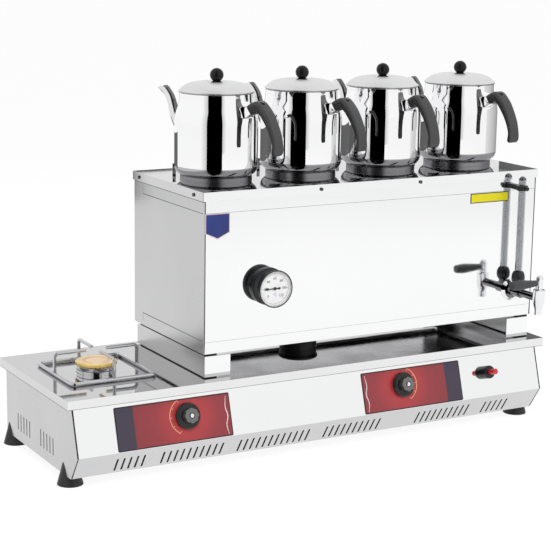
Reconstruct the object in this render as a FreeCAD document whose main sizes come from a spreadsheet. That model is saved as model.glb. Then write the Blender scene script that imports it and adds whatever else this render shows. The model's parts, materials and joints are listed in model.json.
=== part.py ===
import FreeCAD, Part
import os
import re
import Sketcher
from math import copysign, sqrt, tan
from FreeCAD import Placement, Rotation, Vector

# Gas-heated tea urn: a rectangular water boiler on a low two-burner stove, with four teapots
# standing in steam seats on its top. Millimetres. +X is to the right seen from the front,
# -Y is the front and +Z is up. The origin is on the floor under the middle of the whole.

doc = FreeCAD.newDocument("tea_urn")

driving = {
    # stove tray and casing
    "tray_long": 1115, "tray_deep": 360, "tray_top": 180, "tray_rim": 18, "tray_lead": 27,
    "sheet_wall": 1.2, "casing_inset": 12.5, "casing_under": 21.2, "seam_gap": 1.8,
    "panel_back": 13.4, "knee_high": 70.2, "knee_out": 14.4, "sill_back": 18.7,
    "slot_wide": 4, "slot_pitch": 14.2, "slot_low": 26.4, "slot_high": 55.7,
    "side_slot_pitch": 16, "side_slot_low": 43, "side_slot_high": 78,
    "side_slot_front": 79.5, "side_slot_rear": 203,
    "foot_radius": 25.5, "foot_tip_radius": 13.7, "foot_high": 45, "foot_in": 13.7,
    "foot_front": 28, "foot_rear": 317,
    # control panel
    "plate_long": 246, "plate_tall": 85, "plate_drop": 10, "plate_thick": 0.8,
    "plate_left_at": -461, "plate_right_at": 92,
    "knob_left_at": -311, "knob_right_at": 189.5, "knob_drop": 44.5, "shaft_hole": 6.5,
    "knob_radius": 25, "knob_skirt": 4, "knob_grip": 19, "knob_top": 15, "knob_out": 26,
    "knob_travel": 3, "knob_gap": 4.3, "scallop_radius": 5,
    "plug_radius": 5, "stem_radius": 4, "stem_out": 18, "running_gap": 0.05, "stem_flat": 3,
    "igniter_at": 403.5, "igniter_drop": 44, "bezel_radius": 14, "bezel_out": 20,
    "button_radius": 6.1, "button_out": 40, "button_travel": 8, "button_well": 14, "igniter_radius": 10,
    "igniter_long": 45,
    # gas rail, valves and burners
    "rail_radius": 8, "rail_bore": 6, "rail_depth": 70, "rail_end": 25,
    "inlet_at": 300, "inlet_radius": 10.48, "inlet_out": 28, "inlet_nut": 15, "inlet_nut_thick": 8,
    "valve_radius": 12, "valve_long": 32, "valve_front": 8, "valve_tail": 7,
    "feed_radius": 4, "feed_bore": 2.6, "feed_depth": 24, "feed_bend": 20,
    "burner_left_at": -423.5, "burner_right_at": 40, "burner_deep": 150,
    "cup_radius": 39, "cup_wall": 3, "cup_gap": 0.6, "cup_top": 14, "cup_deep": 44,
    "throat_radius": 15, "throat_wall": 3, "mixer_front": 66, "mouth_radius": 20, "mouth_long": 14,
    "cap_radius": 41.6, "cap_top": 23, "cap_thick": 6, "cap_neck": 37.4, "cap_spigot": 35.4,
    "cap_ring": 24, "port_radius": 1.3, "port_count": 28,
    "support_square": 176, "support_rod": 4, "support_bend": 9, "support_lift": 0.3,
    "finger_rod": 3.5, "finger_top": 48.5, "finger_reach": 22, "finger_bend": 8,
    "spark_aside": 24, "spark_behind": 42, "spark_radius": 3.5, "spark_tip": 1,
    "spark_long": 44, "spark_below": 34, "spark_tip_long": 16,
    "lead_radius": 2, "lead_bend": 24, "lead_high_left": 130, "lead_high_right": 138,
    "lead_start": 55, "lead_rear": 50,
    # stand between stove and boiler
    "stand_inset": 3.7, "stand_pad": 2.2, "stand_high": 42.1, "stand_gasket": 4.7,
    "stand_flange": 57, "stand_lip": 30, "gasket_short": 14,
    # boiler
    "boiler_long": 800, "boiler_deep": 320, "boiler_high": 320, "boiler_shift": 138.5,
    "boiler_wall": 1.5, "corner_seam": 1.5, "corner_lip": 12, "base_lip": 30,
    "cover_skirt": 18, "cover_over": 3, "crease_low": 24, "crease_high": 278.5, "crease_lean": 0.8,
    "groove_low": 25.5, "groove_high": 277.5, "groove_from": 6, "groove_to": 278,
    "groove_deep": 0.5, "groove_tall": 1.2,
    "tank_gap": 20, "tank_wall": 1.5, "tank_base": 8, "lagging_top": 298,
    "screw_head": 3.6, "screw_proud": 2, "screw_shank": 1.8, "screw_long": 8, "screw_down": 9.5,
    "screw_left_at": 260, "screw_right_at": 498, "screw_front": 40, "screw_rear": 290,
    "badge_at": 1.5, "badge_low": 227, "badge_long": 54, "badge_tall": 51, "badge_side": 12.2,
    "strip_at": 628, "strip_low": 256, "strip_long": 99, "strip_tall": 21, "label_thick": 0.8,
    # seats for the pots
    "pot_pitch": 198, "pot_aside": 4.6, "pot_4_aside": 2.6, "pot_turn_1": 69.5,
    "pot_turn_2": 71.5, "pot_turn_3": 81, "pot_turn_4": 79.5, "handle_face": 0.46,
    "handle_inner": 0.44, "seat_outer": 73, "seat_inner": 71.2, "seat_proud": 8,
    "seat_sink": 8, "seat_ledge": 60, "seat_skirt": 22,
    "stop_wide": 8, "stop_tall": 20, "stop_thick": 1.5, "stop_aside": 45, "stop_behind": 100,
    # dial thermometer
    "dial_at": 141, "dial_high": 125, "case_radius": 37.5, "case_out": 35, "case_neck": 3,
    "case_neck_radius": 34, "case_wall": 2.5, "case_floor": 3, "bulb_radius": 5, "bulb_long": 60,
    "face_deep": 7, "face_thick": 1, "pane_thick": 2, "pane_deep": 1.5, "bulb_gap": 0.3,
    "needle_thick": 0.8, "needle_long": 24, "needle_tail": 10, "needle_gap": 1,
    "needle_pin": 1, "needle_hub": 3,
    # draw-off tap and sight glass
    "tap_from_right": 57, "tap_high": 61, "tap_out": 98.5, "shank_radius": 8.5, "shank_bore": 5.5,
    "flange_radius": 23, "flange_dish": 17, "flange_out": 6, "shank_in": 8,
    "barrel_radius": 13, "barrel_top": 80, "barrel_waist": 66, "spout_top": 40,
    "spout_radius": 9, "spout_low": 26, "spout_bore": 7.5, "spindle_radius": 6,
    "spindle_deep": 16, "hub_radius": 8.2, "hub_low": 82, "hub_top": 103,
    "dome_top": 110, "dome_flat": 1.5,
    "grip_high": 94, "grip_waist": 6.25, "grip_belly": 10.5, "grip_end": 8.5,
    "grip_waist_at": 9, "grip_belly_at": 51, "grip_end_at": 74,
    "grip_bend": 150,
    "glass_out": 26, "glass_radius": 8, "glass_bore": 6, "glass_top": 311, "glass_gap": 0.1,
    "nut_low": 79, "nut_top": 106, "nut_radius": 15, "nut_seat": 3,
    "clamp_low": 281, "clamp_tall": 10, "clamp_radius": 12, "clamp_bar": 12, "clamp_bolt": 7,
    # teapots, heights from the pot's own base
    "pot_base": 70.5, "pot_base_tall": 17, "pot_flare_from": 72.5, "pot_radius": 84.5,
    "pot_flare_top": 35, "pot_shoulder": 137, "pot_neck": 74.5, "pot_neck_low": 172,
    "pot_rim": 76.2, "pot_rim_tall": 2, "pot_high": 184, "pot_wall": 1, "pot_floor": 1.5,
    "lid_radius": 76.3, "lid_edge": 1.2, "lid_wall": 1, "lid_gap": 0.5, "lid_sink": 8,
    "lid_hip": 71.5, "lid_hip_high": 3.4, "lid_side": 57, "lid_side_high": 12.4, "lid_crest": 31,
    "lid_hip_bend": 42, "lid_side_bend": 95, "lid_crest_bend": 60,
    "lid_crest_high": 18.5, "lid_dish": 14, "lid_dish_high": 15, "stud_radius": 2,
    "stud_gap": 0.2, "button_base": 12.4, "button_rim": 1, "button_neck": 7.5, "button_hollow": 7,
    "ball_radius": 13.9, "ball_high": 32.1, "bracket_wide": 20, "bracket_low": 135,
    "bracket_high": 159, "bracket_out": 99.5, "bracket_out_low": 146.2, "bracket_in": 90.4,
    "bracket_in_high": 160.4,
}

# The rest is worked out from the driving sizes.
derived = {
    "casing_half": "tray_long / 2 - casing_inset",
    "boiler_left": "boiler_shift - boiler_long / 2",
    "boiler_right": "boiler_shift + boiler_long / 2",
    "boiler_front": "(tap_out + barrel_radius - inlet_out - tray_deep + tray_lead) / 2",
    "boiler_back": "boiler_front + boiler_deep",
    "tray_front": "boiler_front - tray_lead",
    "tray_back": "tray_front + tray_deep",
    "stand_low": "tray_top + stand_pad",
    "stand_top": "stand_low + stand_high",
    "boiler_base": "stand_top + stand_gasket",
    "boiler_top": "boiler_base + boiler_high",
    "cover_low": "boiler_top - cover_skirt",
    "edge_y": "tray_front + panel_back",
    "edge_z": "tray_top - tray_rim",
    "panel_tilt": "atan((panel_back + knee_out) / (edge_z - knee_high))",
    "panel_top_y": "edge_y + (tray_rim - sheet_wall) * tan(panel_tilt)",
    "knee_y": "tray_front - knee_out",
    "sill_y": "tray_front + sill_back",
    "back_y": "tray_back - 2 * sheet_wall",
    "rail_y": "edge_y - knob_drop * sin(panel_tilt) + rail_depth * cos(panel_tilt)",
    "rail_z": "edge_z - knob_drop * cos(panel_tilt) - rail_depth * sin(panel_tilt)",
    "feed_y": "edge_y - knob_drop * sin(panel_tilt) + feed_depth * cos(panel_tilt)",
    "feed_z": "edge_z - knob_drop * cos(panel_tilt) - feed_depth * sin(panel_tilt)",
    "burner_y": "boiler_front + burner_deep",
    "cup_low": "tray_top + cup_top - cup_deep",
    "pot_rest": "boiler_top - seat_sink",
    "pot_y": "boiler_front + boiler_deep / 2",
    "shoulder_bend": "((pot_neck_low - pot_shoulder)^2 + (pot_radius - pot_neck)^2)"
                     " / (2 * (pot_radius - pot_neck))",
    "tap_x": "boiler_right - tap_from_right",
    "tap_z": "boiler_base + tap_high",
    "tap_y": "boiler_front - tap_out",
    "glass_y": "boiler_front - glass_out",
    "dial_x": "boiler_left + dial_at",
    "dial_z": "boiler_base + dial_high",
    "tank_left": "boiler_left + tank_gap",
    "tank_front": "boiler_front + tank_gap",
    "tank_long": "boiler_long - 2 * tank_gap",
    "tank_deep": "boiler_deep - 2 * tank_gap",
    "tank_tall": "boiler_high - boiler_wall - tank_base",
    "side_top": "boiler_high - boiler_wall",
}

sizes = doc.addObject("Spreadsheet::Sheet", "sizes")
places = doc.addObject("Spreadsheet::Sheet", "places")
desk = doc.addObject("Spreadsheet::Sheet", "desk")


def cells(formula):
    """A formula in plain size names, as the sheets know them."""
    def sheet_name(match):
        word = match[0]
        return "sizes." + word if word in driving else "places." + word if word in derived else word
    return re.sub(r"[a-z]\w*", sheet_name, str(formula))


for row, (name, value) in enumerate(driving.items(), 1):
    sizes.set(f"A{row}", name)
    sizes.set(f"B{row}", str(value))
    sizes.setAlias(f"B{row}", name)
for row, (name, formula) in enumerate(derived.items(), 1):
    places.set(f"A{row}", name)
    places.setAlias(f"B{row}", name)
for row, formula in enumerate(derived.values(), 1):
    places.set(f"B{row}", "=" + cells(formula))
doc.recompute()


def number(formula):
    """The present value of a formula, for the first guess of a sketch and for bent tubes."""
    desk.set("A1", "=" + cells(formula))
    desk.recompute()
    value = desk.get("A1")
    return float(getattr(value, "Value", value))


def bind(item, **formulas):
    for prop, formula in formulas.items():
        item.setExpression(prop, cells(formula))
    return item


turns = {"z": Rotation(), "x": Rotation(Vector(0, 1, 0), 90),
         "y": Rotation(Vector(1, 0, 0), -90), "-y": Rotation(Vector(1, 0, 0), 90)}


def put(item, x="0", y="0", z="0", turn=None):
    """Places an item at a point given in formulas."""
    item.Placement = Placement(Vector(), turn or Rotation())
    for axis, formula in zip("xyz", (x, y, z)):
        item.setExpression(f"Placement.Base.{axis}", cells(formula))
    return item


def put_on_panel(item, along="0", drop="0"):
    """Local Z becomes the control panel's outward normal, local Y runs up its slope."""
    put(item, along, f"edge_y - ({drop}) * sin(panel_tilt)", f"edge_z - ({drop}) * cos(panel_tilt)",
        Rotation(Vector(1, 0, 0), 70))
    item.setExpression("Placement.Rotation.Angle", cells("90 - panel_tilt / 1 deg"))
    return item


def block(name, low, size):
    item = doc.addObject("Part::Box", name)
    bind(item, Length=size[0], Width=size[1], Height=size[2])
    return put(item, *low)


def rod(name, radius, length, start, along="z"):
    item = doc.addObject("Part::Cylinder", name)
    bind(item, Radius=radius, Height=length)
    return put(item, *start, turn=turns[along])


def joined(name, items):
    item = doc.addObject("Part::MultiFuse", name)
    item.Shapes = items
    return item


def cut(name, base, tools):
    item = doc.addObject("Part::Cut", name)
    item.Base = base
    item.Tool = tools[0] if len(tools) == 1 else joined(name + "_tools", tools)
    return item


def together(name, items):
    item = doc.addObject("Part::Compound", name)
    item.Links = items
    return item


def mirrored(name, source):
    item = doc.addObject("Part::Mirroring", name)
    item.Source = source
    item.Normal = (1, 0, 0)
    return item


def plane(body, role):
    return next(item for item in body.Origin.OriginFeatures if item.Role == role)


def new_body(name):
    body = doc.addObject("PartDesign::Body", name)
    doc.recompute()
    return body


def sketch_on(body, name, role, offset=None):
    sketch = body.newObject("Sketcher::SketchObject", name)
    sketch.AttachmentSupport = [(plane(body, role), "")]
    sketch.MapMode = "FlatFace"
    if offset:
        bind(sketch, **{"AttachmentOffset.Base.z": offset})
    return sketch


def fix_point(sketch, curve, end, across, up):
    for kind, formula in (("DistanceX", across), ("DistanceY", up)):
        index = sketch.addConstraint(Sketcher.Constraint(kind, -1, 1, curve, end, number(formula)))
        sketch.setExpression(f"Constraints[{index}]", cells(formula))


def outline(sketch, corners):
    """A closed outline. A corner is (across, up); a third value is the radius of the arc that
    leaves it, positive where the arc bulges to the right of its direction of travel."""
    points = [Vector(number(corner[0]), number(corner[1]), 0) for corner in corners]
    first = sketch.GeometryCount
    ends = []
    for index, corner in enumerate(corners):
        start, end = points[index], points[(index + 1) % len(points)]
        if len(corner) == 2:
            sketch.addGeometry(Part.LineSegment(start, end))
            ends.append((1, 2))
            continue
        radius = number(corner[2])
        chord = end - start
        half = chord.Length / 2
        rise = abs(radius) - sqrt(max(radius ** 2 - half ** 2, 0))
        right = Vector(chord.y, -chord.x, 0).normalize()
        middle = (start + end) / 2 + right * copysign(rise, radius)
        sketch.addGeometry(Part.Arc(start, middle, end))
        ends.append((1, 2) if radius > 0 else (2, 1))
        curve = first + index
        if abs(abs(radius) - half) > 1e-6:
            bend = Sketcher.Constraint("Radius", curve, abs(radius))
            index_of = sketch.addConstraint(bend)
            sketch.setExpression(f"Constraints[{index_of}]", cells(f"abs({corner[2]})"))
        elif abs(chord.y) < 1e-6:
            level = Sketcher.Constraint("DistanceY", -1, 1, curve, 3, start.y)
            index_of = sketch.addConstraint(level)
            sketch.setExpression(f"Constraints[{index_of}]", cells(corner[1]))
        else:
            level = Sketcher.Constraint("DistanceX", -1, 1, curve, 3, start.x)
            index_of = sketch.addConstraint(level)
            sketch.setExpression(f"Constraints[{index_of}]", cells(corner[0]))
    for index in range(len(corners)):
        follower = (index + 1) % len(corners)
        sketch.addConstraint(Sketcher.Constraint(
            "Coincident", first + index, ends[index][1], first + follower, ends[follower][0]))
    for index, corner in enumerate(corners):
        fix_point(sketch, first + index, ends[index][0], corner[0], corner[1])
    return sketch


def circle(sketch, across, up, radius):
    curve = sketch.addGeometry(Part.Circle(
        Vector(number(across), number(up), 0), Vector(0, 0, 1), number(radius)))
    fix_point(sketch, curve, 3, across, up)
    index = sketch.addConstraint(Sketcher.Constraint("Radius", curve, number(radius)))
    sketch.setExpression(f"Constraints[{index}]", cells(radius))
    return sketch


def oval(sketch, half_long, half_wide):
    curve = sketch.addGeometry(Part.Ellipse(
        Vector(half_long, 0, 0), Vector(0, half_wide, 0), Vector()))
    sketch.addConstraint(Sketcher.Constraint("Block", curve))
    return sketch


def revolve(body, name, corners, kind="Revolution"):
    """Turns an outline drawn as (radius, height) about the body's own Z axis."""
    sketch = outline(sketch_on(body, name + "_outline", "XZ_Plane"), corners)
    item = body.newObject("PartDesign::" + kind, name)
    item.Profile = sketch
    item.ReferenceAxis = (sketch, ["V_Axis"])
    item.Angle = 360
    return item


def turned(name, corners):
    body = new_body(name)
    revolve(body, name + "_turning", corners)
    return body


def pad(body, name, sketch, length, both_ways=False):
    item = body.newObject("PartDesign::Pad", name)
    item.Profile = sketch
    item.Midplane = both_ways
    return bind(item, Length=length)


def pocket(body, name, sketch):
    item = body.newObject("PartDesign::Pocket", name)
    item.Profile = sketch
    item.Type = "ThroughAll"
    return item


def rounded_slot(sketch, across, low, high, width):
    half = f"{width} / 2"
    return outline(sketch, [
        (f"{across} - {half}", f"{low} + {half}", half), (f"{across} + {half}", f"{low} + {half}"),
        (f"{across} + {half}", f"{high} - {half}", half), (f"{across} - {half}", f"{high} - {half}")])


def slot_row(body, name, role, offset, across, low, high, width, pitch, count):
    """A row of upright slots, cut right through the body's sheet."""
    sketch = sketch_on(body, name + "_outline", role, offset)
    first = pocket(body, name, rounded_slot(sketch, across, low, high, width))
    first.Midplane = True
    row = body.newObject("PartDesign::LinearPattern", name + "_row")
    row.Originals = [first]
    row.Direction = (sketch, ["H_Axis"])
    row.Occurrences = count
    bind(row, Length=f"{pitch} * {count - 1}")
    body.Tip = row
    doc.recompute()


def bent_tube(name, points, bend, radius, bore=None):
    """A tube along straight runs joined by tangent arcs."""
    route = [Vector(*(number(part) for part in point)) for point in points]
    curve, size = number(bend), number(radius)
    edges = []
    here = route[0]
    for before, corner, after in zip(route, route[1:], route[2:]):
        into, out = (corner - before).normalize(), (after - corner).normalize()
        trim = curve * tan(into.getAngle(out) / 2)
        start, end = corner - into * trim, corner + out * trim
        inward = (out - into).normalize()
        reach = sqrt(curve ** 2 + trim ** 2) - curve
        edges.append(Part.LineSegment(here, start).toShape())
        edges.append(Part.Arc(start, corner + inward * reach, end).toShape())
        here = end
    edges.append(Part.LineSegment(here, route[-1]).toShape())
    path = Part.Wire(edges)
    ring = Part.Wire(Part.makeCircle(size, route[0], route[1] - route[0]))
    solid = path.makePipeShell([ring], True, True)
    if bore:
        hollow = Part.Wire(Part.makeCircle(number(bore), route[0], route[1] - route[0]))
        solid = solid.cut(path.makePipeShell([hollow], True, True))
    item = doc.addObject("Part::Feature", name)
    item.Shape = solid
    return item


sub_parts = []


def keep(item, label):
    item.Label = label
    sub_parts.append(item)
    return item


# Groups of upright slots along the casing's front: where the first one stands, how many.
front_slot_groups = [(-457.5, 5), (-359.5, 10), (-191.5, 12), (7.5, 10), (233.5, 10), (406, 5)]


def stove_tray():
    outer = block("tray_outer", ("-tray_long / 2", "tray_front", "edge_z"),
                  ("tray_long", "tray_deep", "tray_rim"))
    hollow = block("tray_hollow",
                   ("-tray_long / 2 + sheet_wall", "tray_front + sheet_wall", "edge_z - tray_rim"),
                   ("tray_long - 2 * sheet_wall", "tray_deep - 2 * sheet_wall",
                    "2 * tray_rim - sheet_wall"))
    holes = [hollow]
    for side in ("left", "right"):
        at = f"burner_{side}_at"
        holes.append(rod(f"tray_hole_{side}", "cup_radius + cup_gap", "2 * tray_rim",
                         (at, "burner_y", "edge_z")))
        holes.append(rod(f"tray_spark_{side}", "spark_radius + 0.1", "2 * tray_rim",
                         (f"{at} + spark_aside", "burner_y + spark_behind", "edge_z")))
    keep(cut("tray", outer, holes), "stove_tray")


def stove_casing():
    front = new_body("casing_front")
    profile = outline(sketch_on(front, "casing_front_outline", "YZ_Plane"), [
        ("panel_top_y", "tray_top - sheet_wall"), ("knee_y", "knee_high"),
        ("sill_y", "casing_under"), ("sill_y + 1.25 * sheet_wall", "casing_under"),
        ("knee_y + 1.25 * sheet_wall", "knee_high"),
        ("panel_top_y + 1.25 * sheet_wall", "tray_top - sheet_wall")])
    pad(front, "casing_front_sheet", profile,
        "2 * (casing_half - sheet_wall - seam_gap)", both_ways=True)
    for index, (start, count) in enumerate(front_slot_groups, 1):
        slot_row(front, f"front_slots_{index}", "XZ_Plane", "0", str(start),
                 "slot_low", "slot_high", "slot_wide", "slot_pitch", count)
    for name, at, radius in (("left_shaft", "knob_left_at", "shaft_hole"),
                             ("right_shaft", "knob_right_at", "shaft_hole"),
                             ("igniter", "igniter_at", "igniter_radius + 1")):
        drop = "igniter_drop" if name == "igniter" else "knob_drop"
        sketch = sketch_on(front, name + "_hole_outline", "XZ_Plane")
        circle(sketch, at, f"edge_z - {drop} * cos(panel_tilt)", radius)
        pocket(front, name + "_hole", sketch).Midplane = True
    keep(front, "stove_front_panel")

    side = new_body("casing_side")
    profile = outline(sketch_on(side, "casing_side_outline", "YZ_Plane", "-casing_half"), [
        ("panel_top_y", "tray_top - sheet_wall"), ("knee_y", "knee_high"),
        ("sill_y", "casing_under"), ("back_y", "casing_under"),
        ("back_y", "tray_top - sheet_wall")])
    pad(side, "casing_side_sheet", profile, "sheet_wall")
    for name in ("front", "rear"):
        slot_row(side, f"side_slots_{name}", "YZ_Plane", "-casing_half + sheet_wall",
                 f"boiler_front + side_slot_{name}", "side_slot_low", "side_slot_high",
                 "slot_wide", "side_slot_pitch", 5)
    keep(together("casing_sides", [side, mirrored("casing_side_right", side)]),
         "stove_side_panels")

    back = block("casing_back", ("-casing_half", "back_y", "casing_under"),
                 ("2 * casing_half", "sheet_wall", "tray_top - sheet_wall - casing_under"))
    inlet = rod("casing_back_hole", "inlet_radius + 0.3", "10 * sheet_wall",
                ("inlet_at", "back_y - sheet_wall", "rail_z"), "y")
    keep(cut("casing_back_panel", back, [inlet]), "stove_back_panel")

    base = block("casing_base",
                 ("-casing_half + sheet_wall", "sill_y + 1.25 * sheet_wall", "casing_under"),
                 ("2 * casing_half - 2 * sheet_wall", "back_y - sill_y - 1.25 * sheet_wall",
                  "sheet_wall"))
    keep(base, "stove_base_plate")

    cones = []
    for side, sign in (("left", -1), ("right", 1)):
        for end in ("front", "rear"):
            cone = doc.addObject("Part::Cone", f"foot_cone_{end}_{side}")
            bind(cone, Radius1="foot_radius", Radius2="foot_tip_radius", Height="foot_high")
            cones.append(put(cone, f"{sign} * (casing_half - foot_in)",
                             f"boiler_front + foot_{end}", "0"))
    seat = block("feet_seat", ("-casing_half", "tray_front", "casing_under"),
                 ("2 * casing_half", "tray_deep + foot_radius", "tray_top"))
    keep(cut("feet", joined("foot_cones", cones), [seat]), "stove_feet")


def control_panel():
    plates, holes = [], []
    for side in ("left", "right"):
        plates.append(block(f"plate_{side}", (f"plate_{side}_at", "-plate_drop - plate_tall", "0"),
                            ("plate_long", "plate_tall", "plate_thick")))
        holes.append(rod(f"plate_hole_{side}", "shaft_hole", "2 * plate_thick",
                         (f"knob_{side}_at", "-knob_drop", "-plate_thick / 2")))
    both = cut("plates", joined("plate_blanks", plates), holes)
    keep(put_on_panel(both), "control_plates")

    for side in ("left", "right"):
        at = f"knob_{side}_at"
        plug = rod(f"plug_{side}", "plug_radius", "valve_long - running_gap",
                   ("0", "0", "-valve_front - valve_long + running_gap"))
        stem = rod(f"stem_{side}", "stem_radius", "valve_front + stem_out",
                   ("0", "0", "-valve_front"))
        flat = block(f"stem_flat_{side}",
                     ("stem_flat", "-stem_radius", "knob_gap - knob_travel - 0.5"),
                     ("stem_radius", "2 * stem_radius", "2 * stem_out"))
        spindle = cut(f"spindle_{side}", joined(f"spindle_blank_{side}", [plug, stem]), [flat])
        keep(put_on_panel(spindle, at, "knob_drop"), f"valve_plug_{side}")

        knob = turned(f"knob_{side}", [
            ("0", "knob_gap"), ("knob_radius", "knob_gap"),
            ("knob_radius", "knob_gap + knob_skirt * 0.6"),
            ("knob_radius - 1.5", "knob_gap + knob_skirt"), ("knob_grip", "knob_gap + knob_skirt"),
            ("knob_top", "knob_out - 1"), ("knob_top - 1", "knob_out"), ("0", "knob_out")])
        sketch = sketch_on(knob, f"scallop_outline_{side}", "XY_Plane", "knob_gap + knob_skirt")
        circle(sketch, "knob_grip", "0", "scallop_radius")
        scallop = pocket(knob, f"scallop_{side}", sketch)
        scallop.Reversed = True
        ring = knob.newObject("PartDesign::PolarPattern", f"scallops_{side}")
        ring.Originals = [scallop]
        ring.Axis = (plane(knob, "Z_Axis"), [""])
        ring.Angle = 360
        ring.Occurrences = 8
        knob.Tip = ring
        bore = rod(f"knob_bore_{side}", "stem_radius + running_gap",
                   "stem_out + knob_travel + 0.5 - knob_gap + 1", ("0", "0", "knob_gap - 1"))
        key = block(f"knob_key_{side}",
                    ("stem_flat + running_gap", "-2 * stem_radius", "knob_gap - 2"),
                    ("stem_radius", "4 * stem_radius", "2 * knob_out"))
        keep(put_on_panel(cut(f"knob_bored_{side}", knob, [cut(f"knob_socket_{side}", bore, [key])]),
                          at, "knob_drop"), f"gas_knob_{side}")

    body = turned("igniter", [
        ("0", "-igniter_long"), ("igniter_radius", "-igniter_long"), ("igniter_radius", "0"),
        ("bezel_radius", "0"), ("bezel_radius", "bezel_out - 4", "4"),
        ("bezel_radius - 4", "bezel_out"), ("button_radius + running_gap", "bezel_out"),
        ("button_radius + running_gap", "bezel_out - button_well"),
        ("0", "bezel_out - button_well")])
    keep(put_on_panel(body, "igniter_at", "igniter_drop"), "igniter_body")
    button = turned("button", [
        ("0", "bezel_out - button_well + button_travel + 0.3"),
        ("button_radius", "bezel_out - button_well + button_travel + 0.3"),
        ("button_radius", "button_out - 1.5", "1.5"),
        ("button_radius - 1.5", "button_out"), ("0", "button_out")])
    keep(put_on_panel(button, "igniter_at", "igniter_drop"), "igniter_button")


def gas_rail():
    left, right = "knob_left_at - rail_end", "inlet_at + rail_end"
    pipe = rod("rail_pipe", "rail_radius", f"{right} - ({left})", (left, "rail_y", "rail_z"), "x")
    branch = rod("rail_branch", "rail_radius", "back_y - rail_y", ("inlet_at", "rail_y", "rail_z"),
                 "y")
    nipple = rod("rail_inlet", "inlet_radius", "tray_back + inlet_out - back_y + 6",
                 ("inlet_at", "back_y - 6", "rail_z"), "y")
    nut = doc.addObject("Part::Prism", "rail_nut")
    nut.Polygon = 6
    bind(nut, Circumradius="inlet_nut", Height="inlet_nut_thick")
    put(nut, "inlet_at", "back_y + sheet_wall", "rail_z", turns["y"])
    inside = [
        rod("rail_pipe_bore", "rail_bore", f"{right} - ({left}) - 8",
            (f"{left} + 4", "rail_y", "rail_z"), "x"),
        rod("rail_branch_bore", "rail_bore", "tray_back + inlet_out - rail_y + 4",
            ("inlet_at", "rail_y", "rail_z"), "y")]
    keep(cut("rail", joined("rail_solid", [pipe, branch, nipple, nut]), inside), "gas_manifold")

    valves = []
    for side in ("left", "right"):
        shell = rod(f"valve_shell_{side}", "valve_radius", "valve_long + 2",
                    ("0", "0", "-valve_front - valve_long - 2"))
        tail = rod(f"valve_tail_{side}", "valve_tail", "rail_depth - valve_front - valve_long",
                   ("0", "0", "-rail_depth"))
        bore = rod(f"valve_bore_{side}", "plug_radius + running_gap", "valve_long + 1",
                   ("0", "0", "-valve_front - valve_long"))
        saddle = rod(f"valve_saddle_{side}", "rail_radius", "4 * valve_radius",
                     ("-2 * valve_radius", "0", "-rail_depth"), "x")
        port = rod(f"valve_port_{side}", "feed_bore", "valve_radius + 2",
                   ("-valve_radius - 1", "0", "-feed_depth"), "x")
        valve = cut(f"valve_{side}", joined(f"valve_blank_{side}", [shell, tail]),
                    [bore, saddle, port])
        valves.append(put_on_panel(valve, f"knob_{side}_at", "knob_drop"))
    keep(together("valves", valves), "gas_valve_bodies")

    feeds = []
    for side in ("left", "right"):
        at = f"burner_{side}_at"
        feeds.append(bent_tube(f"feed_{side}", [
            (f"knob_{side}_at - valve_radius", "feed_y", "feed_z"), (at, "feed_y", "feed_z"),
            (at, "boiler_front + mixer_front + 4", "feed_z")], "feed_bend", "feed_radius",
            "feed_bore"))
    keep(together("feeds", feeds), "burner_feed_pipes")


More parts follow.
